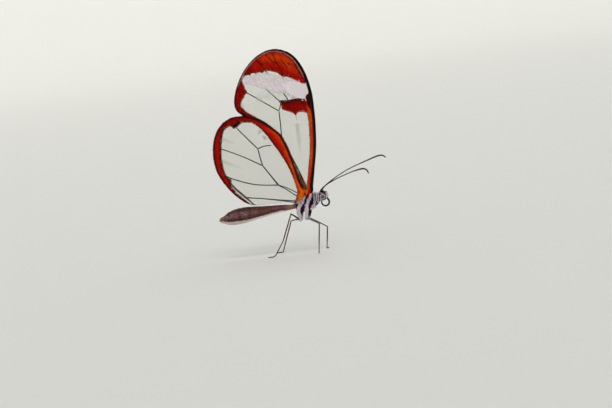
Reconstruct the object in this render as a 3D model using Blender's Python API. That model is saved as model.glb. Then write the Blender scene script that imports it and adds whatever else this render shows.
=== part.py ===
"""A life-size glasswing butterfly at rest with its wings closed above its back.

The head points to +X, the animal's left side is +Y and +Z is up. It stands on the plane z = 0 on
the soles of its four walking legs. Sizes below are in millimetres unless a name says otherwise.
"""

import math

import bmesh
import bpy
import numpy as np
from mathutils import Vector
from mathutils.geometry import delaunay_2d_cdt

MM = 0.001
GAP = 0.3

# Driving sizes of the wings. A side is a distance from the midline.
WING_THICKNESS = 0.5
VEIN_HEIGHT = 0.15
VEIN_HALF_WIDTH = 0.26
INNER_SIDE = 0.42
FOREWING_SPREAD = 0.22
FOREWING_SPREAD_REACH = 5.0
HINDWING_SPREAD = 1.05
HINDWING_SPREAD_REACH = (3.4, 4.4)
ROOT = (0.6, 11.0)
THORAX_CLEARANCE = 0.345
MEMBRANE_GRID = 2.4
GRID_MARGIN = 0.8  # how close the membrane's own points come to an edge or a vein
RIDGE_FADE = 0.6  # distance from the wing's edge over which a vein's ridge sinks in

# Driving sizes of the body.
THORAX_SIDES = 24
ABDOMEN_SIDES = 20
THORAX = (
    # x, top, underside, half width
    (-0.95, 9.52, 8.90, 0.20),
    (-0.80, 10.00, 8.60, 0.50),
    (-0.45, 10.55, 8.22, 0.90),
    (0.20, 11.05, 7.94, 1.20),
    (0.90, 11.30, 7.82, 1.32),
    (1.50, 11.33, 7.96, 1.30),
    (2.00, 11.20, 8.42, 1.10),
    (2.35, 10.92, 8.92, 0.78),
    (2.52, 10.48, 9.45, 0.40),
)
COLLAR = (
    (2.86, 10.50, 9.30, 0.40),
    (2.95, 11.12, 8.95, 0.72),
    (3.20, 11.24, 8.80, 0.82),
    (3.42, 11.10, 8.95, 0.72),
    (3.52, 10.55, 9.35, 0.38),
)
ABDOMEN = (
    (-1.28, 9.20, 8.52, 0.24),
    (-1.45, 9.30, 8.44, 0.36),
    (-3.20, 9.52, 8.20, 0.56),
    (-5.50, 9.60, 7.82, 0.78),
    (-7.80, 9.69, 7.38, 1.00),
    (-10.0, 9.82, 6.94, 1.21),
    (-12.2, 9.73, 6.60, 1.30),
    (-14.0, 9.30, 6.58, 1.13),
    (-15.1, 8.64, 6.88, 0.78),
    (-15.9, 8.12, 7.32, 0.40),
    (-16.2, 7.88, 7.55, 0.18),
)
SEGMENT_COUNT = 7
SEGMENT_GROOVE = 0.035
GROOVE_SHARE = 1 / 6  # half a groove's width, as a share of a segment

HEAD_CENTRE = (4.42, 10.35)
HEAD_HALF = (0.55, 0.80, 0.90)
HEAD_SIDE = 0.45
EYE_CENTRE = (4.62, 10.40)
EYE_HALF = (0.58, 0.56, 0.64)
EYE_MIDDLE = 0.62

FEELER_BASE = (4.55, 0.38, 11.62)
FEELER_LEFT = (
    (5.25, 0.85, 12.35), (8.75, 2.90, 14.40), (12.90, 5.05, 15.85), (15.00, 6.15, 16.40),
    (16.05, 6.70, 15.80),
)
FEELER_RIGHT = (
    (5.70, 1.10, 12.45), (9.15, 3.00, 13.85), (13.20, 5.20, 15.00), (14.60, 6.00, 15.12),
    (15.55, 6.70, 14.15),
)
FEELER_RADII = (0.27, 0.25, 0.25, 0.27, 0.32, 0.24)

COIL_CENTRE = (4.95, 9.22)
COIL_RADIUS = 0.72
COIL_FROM_DEG = 42
COIL_TO_DEG = -168
COIL_TUBE = 0.25

PALP = ((5.50, 0.32, 10.10), (5.50, 0.36, 10.50), (5.40, 0.40, 10.90), (5.24, 0.42, 11.22))
PALP_RADII = (0.25, 0.25, 0.22, 0.12)

# A leg's points run coxa top, trochanter, knee, ankle, heel, toe, each as (x, side, z).
LEGS = {
    "mid_leg_right": (
        (1.35, 0.85, 7.62), (1.05, 0.85, 6.56), (3.92, 2.75, 5.50),
        (3.45, 2.98, 1.75), (3.25, 3.05, 0.17), (3.42, 3.85, 0.17),
    ),
    "mid_leg_left": (
        (1.35, 0.85, 7.62), (1.05, 0.85, 6.56), (3.99, 2.75, 4.22),
        (3.55, 2.98, 1.60), (3.28, 3.05, 0.17), (3.45, 3.85, 0.17),
    ),
    "hind_leg_right": (
        (-0.28, 0.85, 7.82), (-0.29, 0.85, 6.36), (-1.27, 2.90, 7.87),
        (-3.42, 3.15, 2.93), (-5.30, 3.30, 0.17), (-6.70, 3.35, 0.17),
    ),
    "hind_leg_left": (
        (-0.28, 0.85, 7.82), (-0.29, 0.85, 6.36), (-2.80, 2.10, 6.05),
        (-4.72, 2.75, 1.75), (-5.40, 2.95, 0.17), (-6.75, 3.00, 0.17),
    ),
}
LEG_RADII = (0.46, 0.34, 0.27, 0.25, 0.28, 0.28)
LEG_CORNER = 0.42
FORE_LEG = ((3.10, 0.42, 8.46), (2.70, 0.48, 8.38), (2.10, 0.52, 8.17))
FORE_LEG_RADII = (0.26, 0.29, 0.25)

# Outlines and veins of the wings, as (x, z) seen from the side. The forewing's inner margin follows
# the hindwing's leading margin, a gap away from it.
HINDWING_LEAD = (
    (1.22, 10.70), (1.46, 11.70), (0.95, 13.00), (0.38, 14.80), (-0.45, 18.00), (-1.15, 20.50),
    (-2.15, 22.75), (-4.09, 24.66), (-5.93, 25.96), (-7.86, 26.77),
)
HINDWING_REST = (
    (-9.86, 27.07), (-11.92, 26.72), (-13.86, 25.36), (-15.05, 23.40), (-15.68, 20.60),
    (-15.46, 17.34), (-14.62, 15.35), (-13.27, 13.26), (-11.60, 11.50), (-10.05, 10.40),
    (-8.30, 9.98), (-5.60, 9.88), (-2.90, 9.82), (-0.95, 9.74), (0.12, 9.90), (0.76, 10.20),
)
FOREWING_OUTER = (
    (1.95, 11.50), (2.48, 11.36), (2.82, 12.70), (3.56, 15.50), (4.38, 19.30), (4.83, 23.10),
    (5.01, 26.55), (4.94, 30.30), (3.88, 34.70), (1.88, 37.65), (-1.30, 38.88), (-4.62, 37.98),
    (-7.59, 35.43), (-9.70, 31.80), (-10.25, 29.51), (-10.00, 28.20), (-9.10, 27.44),
)
FOREWING_VEINS = (
    (
        (2.46, 12.20), (3.10, 15.50), (3.92, 19.40), (4.36, 23.20), (4.54, 26.60), (4.44, 30.40),
        (3.28, 34.40), (1.25, 37.30),
    ),
    (
        (2.25, 12.90), (2.62, 15.60), (3.32, 19.60), (3.74, 23.40), (3.90, 26.60), (3.70, 28.75),
        (2.50, 33.40), (0.65, 36.90),
    ),
    (
        (2.02, 12.20), (1.52, 13.40), (0.98, 15.00), (0.18, 18.10), (-0.52, 20.60), (-1.62, 22.70),
        (-1.80, 24.80), (-1.75, 27.28), (-1.18, 28.90), (0.17, 28.90), (3.50, 28.80),
    ),
    ((-1.75, 27.28), (-4.83, 29.47), (-7.60, 31.37), (-9.20, 31.95)),
    ((-1.18, 28.90), (-4.05, 32.00), (-6.90, 35.10)),
    ((0.35, 28.90), (-2.00, 33.00), (-4.95, 37.30)),
    ((1.50, 28.88), (0.20, 33.30), (-1.75, 38.10)),
    ((-1.62, 22.70), (-3.50, 25.10), (-5.55, 26.65), (-7.80, 27.65), (-9.60, 28.60)),
)
HINDWING_VEINS = (
    (
        (0.50, 11.20), (0.40, 12.80), (-0.15, 14.70), (-1.02, 17.90), (-1.75, 20.40), (-3.10, 23.10),
        (-5.90, 25.30), (-9.30, 26.40),
    ),
    ((0.20, 10.90), (-3.70, 13.32), (-6.30, 17.32), (-6.74, 20.72), (-10.68, 25.02), (-11.45, 26.20)),
    ((-6.74, 20.72), (-4.18, 20.92), (-1.85, 20.62)),
    ((-6.30, 17.32), (-10.13, 19.52), (-13.83, 21.27), (-15.20, 21.85)),
    ((-3.70, 13.32), (-7.73, 13.80), (-9.98, 14.42), (-13.45, 15.85), (-14.50, 16.45)),
    ((-1.60, 10.14), (-3.22, 10.36), (-5.36, 10.76), (-7.50, 11.17), (-10.08, 11.58), (-11.10, 12.00)),
)

COLOURS = {
    "wing": ((0.78, 0.80, 0.72, 1.0), 0.25),
    "hair": ((0.52, 0.47, 0.50, 1.0), 0.85),
    "abdomen": ((0.13, 0.06, 0.055, 1.0), 0.7),
    "eye": ((0.09, 0.07, 0.07, 1.0), 0.25),
    "leg": ((0.14, 0.10, 0.08, 1.0), 0.6),
    "feeler": ((0.07, 0.05, 0.04, 1.0), 0.55),
}


def clear_scene():
    """Remove whatever the startup scene holds."""
    for thing in list(bpy.data.objects):
        bpy.data.objects.remove(thing, do_unlink=True)


def finish_material(kind):
    """One Principled material per kind of surface, made once and shared."""
    if kind in bpy.data.materials:
        return bpy.data.materials[kind]
    colour, roughness = COLOURS[kind]
    material = bpy.data.materials.new(kind)
    material.use_nodes = True
    shader = material.node_tree.nodes["Principled BSDF"]
    shader.inputs["Base Color"].default_value = colour
    shader.inputs["Roughness"].default_value = roughness
    shader.inputs["Metallic"].default_value = 0.0
    return material


def add_object(name, mesh, kind):
    """Put a mesh in the butterfly's collection under its own name, with faces turned outwards."""
    shell = bmesh.new()
    shell.from_mesh(mesh)
    bmesh.ops.recalc_face_normals(shell, faces=shell.faces)
    shell.to_mesh(mesh)
    shell.free()
    mesh.materials.clear()
    mesh.materials.append(finish_material(kind))
    mesh.shade_smooth()
    mesh.set_sharp_from_angle(angle=math.radians(40))
    piece = bpy.data.objects.new(name, mesh)
    bpy.data.collections["glasswing_butterfly"].objects.link(piece)
    return piece


def mesh_from(name, points, faces):
    """A mesh from points in millimetres and a list of faces."""
    mesh = bpy.data.meshes.new(name)
    mesh.from_pydata([tuple(c * MM for c in point) for point in points], [], faces)
    mesh.update()
    return mesh


def smooth_line(points, steps, closed=False):
    """Points along a centripetal Catmull-Rom curve through the given ones, steps to each span."""
    known = [Vector(p) for p in points]
    count = len(known)
    spans = count if closed else count - 1
    if not closed:
        known = [known[0] * 2 - known[1]] + known + [known[-1] * 2 - known[-2]]
    made = []
    for span in range(spans):
        if closed:
            a, b, c, d = (known[(span + k - 1) % count] for k in range(4))
        else:
            a, b, c, d = known[span : span + 4]
        for step in range(steps):
            made.append(curve_point(a, b, c, d, step / steps))
    if not closed:
        made.append(known[-2])
    return [tuple(p) for p in made]


def curve_point(a, b, c, d, share):
    """The point between b and c at that share, on a Catmull-Rom curve with centripetal knots."""
    knots = [0.0]
    for start, end in ((a, b), (b, c), (c, d)):
        knots.append(knots[-1] + math.sqrt(max((end - start).length, 1e-6)))
    t = knots[1] + share * (knots[2] - knots[1])

    def blend(p, q, low, high):
        return p * ((high - t) / (high - low)) + q * ((t - low) / (high - low))

    near = blend(a, b, knots[0], knots[1])
    middle = blend(b, c, knots[1], knots[2])
    far = blend(c, d, knots[2], knots[3])
    left = blend(near, middle, knots[0], knots[2])
    right = blend(middle, far, knots[1], knots[3])
    return blend(left, right, knots[1], knots[2])


def rounded_line(points, radii, corner, steps=4):
    """A line of straight runs with a short arc in place of each corner, and a radius at each point."""
    line = [Vector(p) for p in points]
    made, thick = [line[0]], [radii[0]]
    for k in range(1, len(line) - 1):
        back, ahead = line[k - 1] - line[k], line[k + 1] - line[k]
        trim = min(corner, 0.45 * back.length, 0.45 * ahead.length)
        start = line[k] + back.normalized() * trim
        end = line[k] + ahead.normalized() * trim
        for step in range(steps + 1):
            s = step / steps
            made.append(start * (1 - s) ** 2 + line[k] * (2 * s * (1 - s)) + end * s**2)
            thick.append(radii[k])
    made.append(line[-1])
    thick.append(radii[-1])
    return made, thick


def tube(name, points, radii, kind):
    """A capped round tube along the points, whose radius may change from point to point."""
    curve = bpy.data.curves.new(name, "CURVE")
    curve.dimensions = "3D"
    curve.bevel_depth = MM
    curve.bevel_resolution = 2
    curve.use_fill_caps = True
    spline = curve.splines.new("POLY")
    spline.points.add(len(points) - 1)
    for place, point, radius in zip(spline.points, points, radii):
        place.co = (point[0] * MM, point[1] * MM, point[2] * MM, 1.0)
        place.radius = radius
    guide = bpy.data.objects.new(name + "_guide", curve)
    bpy.context.scene.collection.objects.link(guide)
    bpy.context.view_layer.update()
    graph = bpy.context.evaluated_depsgraph_get()
    mesh = bpy.data.meshes.new_from_object(guide.evaluated_get(graph))
    bpy.data.objects.remove(guide, do_unlink=True)
    welded = bmesh.new()
    welded.from_mesh(mesh)
    bmesh.ops.remove_doubles(welded, verts=welded.verts, dist=0.002 * MM)
    welded.to_mesh(mesh)
    welded.free()
    return add_object(name, mesh, kind)


def spread_radii(radii, count):
    """Radii read evenly along a tube of that many points."""
    return np.interp(np.linspace(0, len(radii) - 1, count), np.arange(len(radii)), radii)


def section_at(sections, x):
    """Top, underside and half width of a body part at x, from its table of sections."""
    rows = np.array(sorted(sections))
    return tuple(np.interp(x, rows[:, 0], rows[:, k]) for k in (1, 2, 3))


def loft(name, rings, kind):
    """A closed body through rings of equal count, with the end rings closed by one face each."""
    count = len(rings[0])
    points = [point for ring in rings for point in ring]
    faces = [list(range(count)), [len(points) - count + k for k in range(count)]]
    for row in range(len(rings) - 1):
        for k in range(count):
            here, there = row * count + k, row * count + (k + 1) % count
            faces.append([here, there, there + count, here + count])
    return add_object(name, mesh_from(name, points, faces), kind)


def oval(x, top, under, half, sides):
    """One ring across the body: an ellipse in the YZ plane."""
    middle, tall = (top + under) / 2, (top - under) / 2
    turns = [math.tau * k / sides for k in range(sides)]
    return [(x, half * math.sin(a), middle + tall * math.cos(a)) for a in turns]


def smooth_sections(sections, steps):
    """The table of sections, filled in along a smooth curve."""
    return smooth_line([(x, top, under) for x, top, under, _ in sections], steps), smooth_line(
        [(x, half, 0.0) for x, _, _, half in sections], steps
    )


def body_part(name, sections, sides, steps, kind):
    """A lofted part of the body through smoothed elliptical sections."""
    heights, widths = smooth_sections(sections, steps)
    rings = [
        oval(x, top, under, half, sides) for (x, top, under), (_, half, _) in zip(heights, widths)
    ]
    return loft(name, rings, kind)


def abdomen():
    """The club-shaped abdomen, with a shallow groove at each joint between its segments."""
    heights, widths = smooth_sections(ABDOMEN, 3)
    base, tip = ABDOMEN[1][0], ABDOMEN[-2][0]
    rings = []
    for (x, top, under), (_, half, _) in zip(heights, widths):
        share = np.clip((x - base) / (tip - base), 0, 1) * SEGMENT_COUNT
        groove = SEGMENT_GROOVE * max(0.0, 1 - abs(share - round(share)) / GROOVE_SHARE)
        middle = (top + under) / 2
        top, under, half = (middle + (1 - groove) * (c - middle) for c in (top, under, middle + half))
        rings.append(oval(x, top, under, half - middle, ABDOMEN_SIDES))
    return loft("abdomen", rings, "abdomen")


def cut_flat(shell, place, normal):
    """Cut a closed bmesh by a plane, drop what the normal points to, and close the cut."""
    everything = list(shell.verts) + list(shell.edges) + list(shell.faces)
    cut = bmesh.ops.bisect_plane(
        shell, geom=everything, plane_co=place, plane_no=normal, clear_outer=True, dist=1e-7
    )
    rim = [edge for edge in cut["geom_cut"] if isinstance(edge, bmesh.types.BMEdge)]
    bmesh.ops.edgeloop_fill(shell, edges=rim)


def egg(name, centre, half, segments, rings, cuts, kind):
    """An ellipsoid cut flat by each (place, normal) pair of planes across Y."""
    shell = bmesh.new()
    bmesh.ops.create_uvsphere(shell, u_segments=segments, v_segments=rings, radius=MM)
    for vert in shell.verts:
        vert.co = Vector([(c + h * v / MM) * MM for c, h, v in zip(centre, half, vert.co)])
    for place, normal in cuts:
        cut_flat(shell, (0, place * MM, 0), (0, normal, 0))
    mesh = bpy.data.meshes.new(name)
    shell.to_mesh(mesh)
    shell.free()
    return add_object(name, mesh, kind)


def head():
    """The head between its two eyes, which it meets on two flat sides."""
    centre = (HEAD_CENTRE[0], 0.0, HEAD_CENTRE[1])
    egg("head", centre, HEAD_HALF, 20, 12, ((HEAD_SIDE, 1), (-HEAD_SIDE, -1)), "hair")
    for name, side in (("eye_left", 1), ("eye_right", -1)):
        middle = (EYE_CENTRE[0], side * EYE_MIDDLE, EYE_CENTRE[1])
        egg(name, middle, EYE_HALF, 16, 12, ((side * (HEAD_SIDE + GAP), -side),), "eye")


def feelers():
    """The two antennae, each a long shaft that swells to a slim club and droops at its tip."""
    for name, side, way in (("antenna_left", 1, FEELER_LEFT), ("antenna_right", -1, FEELER_RIGHT)):
        line = smooth_line([(x, side * y, z) for x, y, z in (FEELER_BASE, *way)], 6)
        tube(name, line, spread_radii(FEELER_RADII, len(line)), "feeler")


def mouthparts():
    """The coiled proboscis under the face and the two upturned palps before it."""
    turns = np.radians(np.linspace(COIL_FROM_DEG, COIL_TO_DEG, 24))
    line = [
        (COIL_CENTRE[0] + COIL_RADIUS * math.cos(a), 0.0, COIL_CENTRE[1] + COIL_RADIUS * math.sin(a))
        for a in turns
    ]
    tube("proboscis", line, [COIL_TUBE] * len(line), "feeler")
    for name, side in (("palp_left", 1), ("palp_right", -1)):
        line = smooth_line([(x, side * y, z) for x, y, z in PALP], 3)
        tube(name, line, spread_radii(PALP_RADII, len(line)), "hair")


def flatten_soles(piece):
    """Level whatever of a foot reaches below the floor, which leaves a small flat sole."""
    for vert in piece.data.vertices:
        vert.co.z = max(vert.co.z, 0.0)


def legs():
    """Four walking legs and the two short brush-footed ones folded under the collar."""
    for name, points in LEGS.items():
        side = 1 if name.endswith("left") else -1
        line, thick = rounded_line([(x, side * y, z) for x, y, z in points], LEG_RADII, LEG_CORNER)
        flatten_soles(tube(name, line, thick, "leg"))
    for name, side in (("fore_leg_left", 1), ("fore_leg_right", -1)):
        line = smooth_line([(x, side * y, z) for x, y, z in FORE_LEG], 3)
        tube(name, line, spread_radii(FORE_LEG_RADII, len(line)), "leg")


def distance_to(line, points):
    """Distance of each point from a polyline, both as arrays of (x, z)."""
    start, end = line[:-1], line[1:]
    run = end - start
    reach = ((points[:, None] - start) * run).sum(2) / np.maximum((run**2).sum(1), 1e-12)
    nearest = start + np.clip(reach, 0, 1)[..., None] * run
    return np.linalg.norm(points[:, None] - nearest, axis=2).min(1)


def inside(loop, points):
    """True for each point within a closed outline, by counting the edges to its right."""
    a, b = loop, np.roll(loop, -1, axis=0)
    x, z = points[:, 0, None], points[:, 1, None]
    spans = (a[:, 1] > z) != (b[:, 1] > z)
    rise = np.where(np.abs(b[:, 1] - a[:, 1]) < 1e-12, 1e-12, b[:, 1] - a[:, 1])
    meets = a[:, 0] + (z - a[:, 1]) * (b[:, 0] - a[:, 0]) / rise
    return (spans & (x < meets)).sum(1) % 2 == 1


def thorax_side(points):
    """How far a wing's middle has to lie from the midline to lap the thorax without touching it."""
    top, under, half = section_at(THORAX, points[:, 0])
    height = (points[:, 1] - (top + under) / 2) / ((top - under) / 2)
    side = half * np.sqrt(np.clip(1 - height**2, 0, 1))
    return side + THORAX_CLEARANCE + WING_THICKNESS / 2


def forewing_side(points):
    """Distance of the forewing's middle from the midline, widest at its root on top of the thorax."""
    rise = (points[:, 1] - ROOT[1]) / FOREWING_SPREAD_REACH
    return INNER_SIDE + FOREWING_SPREAD * np.exp(-(rise**2))


def hindwing_side(points):
    """Distance of the hindwing's middle from the midline: its root laps the thorax's side."""
    back = np.maximum(ROOT[0] - points[:, 0], 0) / HINDWING_SPREAD_REACH[0]
    rise = np.maximum(points[:, 1] - ROOT[1], 0) / HINDWING_SPREAD_REACH[1]
    free = INNER_SIDE + HINDWING_SPREAD * np.exp(-(back**2) - rise**4)
    return np.maximum(free, thorax_side(points))


def beside(line, distance):
    """A line of (x, z) points moved sideways, to its right when distance is positive."""
    line = np.array(line)
    along = np.gradient(line, axis=0)
    along /= np.linalg.norm(along, axis=1)[:, None]
    return line + distance * np.stack([along[:, 1], -along[:, 0]], axis=1)


def hindwing_edge():
    """The hindwing's closed edge, as an array of (x, z)."""
    return outline(HINDWING_LEAD + HINDWING_REST)


def forewing_edge():
    """The forewing's closed edge, whose inner margin keeps a gap to the hindwing."""
    inner = beside(HINDWING_LEAD, GAP)[1:]
    return outline(FOREWING_OUTER + tuple(map(tuple, inner[::-1])))


def outline(edge):
    """A wing's closed edge, smoothed, as an array of (x, z)."""
    return np.array(smooth_line([(x, z, 0.0) for x, z in edge], 3, closed=True))[:, :2]


def vein_lines(vein):
    """A vein's middle line and, beside it, the two lines where its ridge meets the membrane."""
    middle = np.array(smooth_line([(x, z, 0.0) for x, z in vein], 2))[:, :2]
    along = np.gradient(middle, axis=0)
    along /= np.linalg.norm(along, axis=1)[:, None]
    across = np.stack([-along[:, 1], along[:, 0]], axis=1) * VEIN_HALF_WIDTH
    return middle, (middle + across)[1:-1], (middle - across)[1:-1]


def wing_plan(loop, veins):
    """Triangles that fill a wing's outline, with an edge along each line of every vein."""
    points = [Vector(p) for p in loop]
    face = list(range(len(points)))
    edges, middles = [], []
    closed_loop = np.vstack([loop, loop[:1]])
    for vein in veins:
        middle, left, right = vein_lines(vein)
        middles.append(middle)
        for line in (middle, left, right):
            first = len(points)
            points += [Vector(p) for p in line]
            edges += [(first + k, first + k + 1) for k in range(len(line) - 1)]
    low, high = loop.min(0), loop.max(0)
    xs, zs = (np.arange(low[k] + 0.6 * MEMBRANE_GRID, high[k], MEMBRANE_GRID) for k in (0, 1))
    grid = np.array([(x + (row % 2) * MEMBRANE_GRID / 2, z) for row, z in enumerate(zs) for x in xs])
    keep = inside(loop, grid) & (distance_to(closed_loop, grid) > GRID_MARGIN)
    for middle in middles:
        keep &= distance_to(middle, grid) > GRID_MARGIN
    points += [Vector(p) for p in grid[keep]]
    made, _, faces, *_ = delaunay_2d_cdt(points, edges, [face], 1, 1e-4)
    flat = np.array([tuple(p) for p in made])
    ridge = np.zeros(len(flat))
    for middle in middles:
        ridge = np.maximum(ridge, 1 - distance_to(middle, flat) / VEIN_HALF_WIDTH)
    ridge *= np.clip(distance_to(closed_loop, flat) / RIDGE_FADE, 0, 1)
    return flat, faces, ridge * VEIN_HEIGHT


def wing(name, side, loop, veins, place):
    """A wing plate of even thickness whose veins stand up as ridges in its outer face."""
    flat, faces, ridge = wing_plan(loop, veins)
    middle = place(flat)
    outer = side * (middle + WING_THICKNESS / 2 + ridge)
    inner = side * (middle - WING_THICKNESS / 2)
    count = len(flat)
    points = [(x, y, z) for (x, z), y in zip(flat, outer)]
    points += [(x, y, z) for (x, z), y in zip(flat, inner)]
    uses = {}
    for face in faces:
        for a, b in zip(face, (*face[1:], face[0])):
            uses.setdefault((min(a, b), max(a, b)), []).append((a, b))
    skin = [list(face) for face in faces]
    skin += [[k + count for k in reversed(face)] for face in faces]
    rim = [pairs[0] for pairs in uses.values() if len(pairs) == 1]
    skin += [[b, a, a + count, b + count] for a, b in rim]
    return add_object(name, mesh_from(name, points, skin), "wing")


def wings():
    """The closed wings: on each side the forewing stands before the hindwing in one sheet."""
    for word, side in (("left", 1), ("right", -1)):
        wing("forewing_" + word, side, forewing_edge(), FOREWING_VEINS, forewing_side)
        wing("hindwing_" + word, side, hindwing_edge(), HINDWING_VEINS, hindwing_side)


def main():
    clear_scene()
    collection = bpy.data.collections.new("glasswing_butterfly")
    bpy.context.scene.collection.children.link(collection)
    body_part("thorax", THORAX, THORAX_SIDES, 2, "hair")
    body_part("collar", COLLAR, 18, 2, "hair")
    abdomen()
    head()
    feelers()
    mouthparts()
    legs()
    wings()


main()
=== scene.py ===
# %% [markdown]
# # A glasswing butterfly, life-size
# The butterfly stands on four legs with its clear wings closed above its back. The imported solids
# give the size and the place of every part. Each lesson below makes one part of the look over
# them: the wings first, then the body with its coat of scales, the head, and the legs.

# %% Load the frame and keep its box
import math

import bpy
import numpy as np
from mathutils import Matrix, Vector


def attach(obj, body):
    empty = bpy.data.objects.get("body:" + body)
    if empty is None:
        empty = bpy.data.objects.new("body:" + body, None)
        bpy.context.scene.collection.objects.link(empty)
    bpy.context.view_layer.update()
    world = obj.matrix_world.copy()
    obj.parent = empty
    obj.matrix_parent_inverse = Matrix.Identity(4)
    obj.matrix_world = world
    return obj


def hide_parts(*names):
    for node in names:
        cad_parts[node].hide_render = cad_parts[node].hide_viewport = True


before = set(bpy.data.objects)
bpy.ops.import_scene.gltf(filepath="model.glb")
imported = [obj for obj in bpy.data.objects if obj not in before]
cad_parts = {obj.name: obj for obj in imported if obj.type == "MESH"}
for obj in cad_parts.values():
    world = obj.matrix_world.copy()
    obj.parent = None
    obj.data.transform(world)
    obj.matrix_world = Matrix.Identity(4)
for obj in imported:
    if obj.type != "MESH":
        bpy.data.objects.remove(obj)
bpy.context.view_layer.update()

MM = 0.001


# %% [markdown]
# ## The camera
# The butterfly is seen from its right side, 15 degrees towards its head and 5 degrees from above,
# and the picture is rolled by 7.3 degrees, so that its level feet stand as they do in the photo. A
# long lens far away keeps the view nearly parallel, as in a close-up of a small animal.

# %% Camera
TURN, RISE, ROLL = math.radians(15), math.radians(5), math.radians(7.3)
LENS, SENSOR = 130, 36
FRAME_WIDTH = 116.28  # how many millimetres the picture spans at the butterfly
AIM_X, AIM_RIGHT, AIM_TOP = -1.3, 1.14, 9.31  # a point on the floor, and the picture's middle from there

side_way = Vector((math.cos(TURN), math.sin(TURN), 0))
up_way = Vector((-math.sin(RISE) * math.sin(TURN), math.sin(RISE) * math.cos(TURN), math.cos(RISE)))
back_way = side_way.cross(up_way)
right_way = side_way * math.cos(ROLL) - up_way * math.sin(ROLL)
top_way = side_way * math.sin(ROLL) + up_way * math.cos(ROLL)
aim = Vector((AIM_X, 0, 0)) + right_way * AIM_RIGHT + top_way * AIM_TOP
away = FRAME_WIDTH * LENS / SENSOR
camera = bpy.data.objects.new("camera", bpy.data.cameras.new("camera"))
camera.data.lens, camera.data.sensor_width = LENS, SENSOR
turned = Matrix((right_way, top_way, back_way)).transposed().to_4x4()
camera.matrix_world = Matrix.Translation((aim + back_way * away) * MM) @ turned
camera.data.clip_start, camera.data.clip_end = 0.01, 10
bpy.context.scene.collection.objects.link(camera)
bpy.context.scene.camera = camera
bpy.context.scene.view_settings.view_transform = "Standard"
print("camera", round(away), "mm away")

# %% [markdown]
# ## Shader maths as Python
# A finish is easier to read as a formula than as a list of nodes. `Wire` wraps a socket, so that
# `1 - mask * 0.5` adds its Math nodes, and `Finish.node` makes any other node from its type, its
# settings and its inputs. Colours never pass through a Math node, which would turn them grey.

# %% Wire and Finish
class Wire:
    """One output socket of a finish. Operators on it add Math nodes."""

    def __init__(self, finish, socket):
        self.finish, self.socket = finish, socket

    def math(self, operation, *others):
        inputs = dict(enumerate((self, *others)))
        return self.finish.node("ShaderNodeMath", {"operation": operation}, inputs)

    def __add__(self, other):
        return self.math("ADD", other)

    def __sub__(self, other):
        return self.math("SUBTRACT", other)

    def __mul__(self, other):
        return self.math("MULTIPLY", other)

    def __rsub__(self, other):
        return self.finish.node("ShaderNodeMath", {"operation": "SUBTRACT"}, {0: other, 1: self})

    __radd__, __rmul__ = __add__, __mul__

    def between(self, low, high):
        """0 below low, 1 above high, and a smooth step from one to the other."""
        inputs = {"Value": self, "From Min": low, "From Max": high}
        return self.finish.node("ShaderNodeMapRange", {"interpolation_type": "SMOOTHSTEP"}, inputs)

    def greater(self, other):
        return self.math("MAXIMUM", other)

    def less(self, other):
        return self.math("MINIMUM", other)


class Finish:
    """A material made in code, whose surface is one Principled shader."""

    def __init__(self, name):
        self.material = bpy.data.materials.new(name)
        self.material.use_nodes = True
        self.tree = self.material.node_tree
        self.tree.nodes.clear()

    def node(self, kind, settings=None, inputs=None, out=0):
        """Make a node, set its settings first, then give each input its value or link."""
        made = self.tree.nodes.new(kind)
        for key, value in (settings or {}).items():
            if key == "stops":
                ramp = made.color_ramp.elements
                while len(ramp) < len(value):
                    ramp.new(0.5)
                for stop, (place, colour) in zip(ramp, value):
                    stop.position, stop.color = place, (*colour, 1)
            else:
                setattr(made, key, value)
        for key, value in (inputs or {}).items():
            if isinstance(value, Wire):
                self.tree.links.new(value.socket, made.inputs[key])
            else:
                made.inputs[key].default_value = value
        return Wire(self, made.outputs[out]) if made.outputs else None

    def value(self, name):
        """A number that each point of the mesh carries."""
        return self.node("ShaderNodeAttribute", {"attribute_name": name}, out="Fac")

    def place(self):
        """The place in millimetres that each point carries: its own, or its scale's root."""
        return self.node("ShaderNodeAttribute", {"attribute_name": "place"}, out="Vector")

    def stretch(self, vector, scale, turn=(0, 0, 0)):
        """A pattern's coordinates, turned and scaled."""
        inputs = {"Vector": vector, "Rotation": turn, "Scale": scale}
        return self.node("ShaderNodeMapping", {"vector_type": "TEXTURE"}, inputs)

    def noise(self, vector, size=1.0, detail=2.0, rough=0.5):
        """Cloudy noise from 0 to 1 whose lumps are about size wide, in the vector's units."""
        inputs = {"Vector": vector, "Scale": 1 / size, "Detail": detail, "Roughness": rough}
        return self.node("ShaderNodeTexNoise", inputs=inputs)

    def ramp(self, share, *stops):
        """A colour that runs through the stops (place, colour) as share goes from 0 to 1."""
        return self.node("ShaderNodeValToRGB", {"stops": stops}, {"Fac": share})

    def blend(self, share, start, end):
        """The colour start where share is 0 and end where it is 1."""
        def colour(c):
            return c if isinstance(c, Wire) else (*c, 1)
        inputs = {0: share, 6: colour(start), 7: colour(end)}
        return self.node("ShaderNodeMix", {"data_type": "RGBA", "clamp_factor": True}, inputs, out=2)

    def bump(self, height, depth, strength=1.0):
        """A normal bent by a height from 0 to 1 that stands for depth millimetres."""
        inputs = {"Height": height, "Distance": depth * MM, "Strength": strength}
        return self.node("ShaderNodeBump", inputs=inputs)

    def surface(self, **inputs):
        """The Principled shader, with each socket's words joined by an underscore."""
        inputs = {key.replace("_", " "): value for key, value in inputs.items()}
        colour = inputs["Base Color"]
        inputs["Base Color"] = colour if isinstance(colour, Wire) else (*colour, 1)
        shader = self.node("ShaderNodeBsdfPrincipled", inputs=inputs)
        self.node("ShaderNodeOutputMaterial", inputs={"Surface": shader})
        return self.material


# %% [markdown]
# ## Surfaces from arrays
# Every new piece is worked out with numpy as whole arrays of points, in millimetres, and put into a
# mesh at once. Closed pieces are rings of points joined one to the next, with a middle point to
# close each end, so there is never a hole to mend afterwards.


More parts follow.
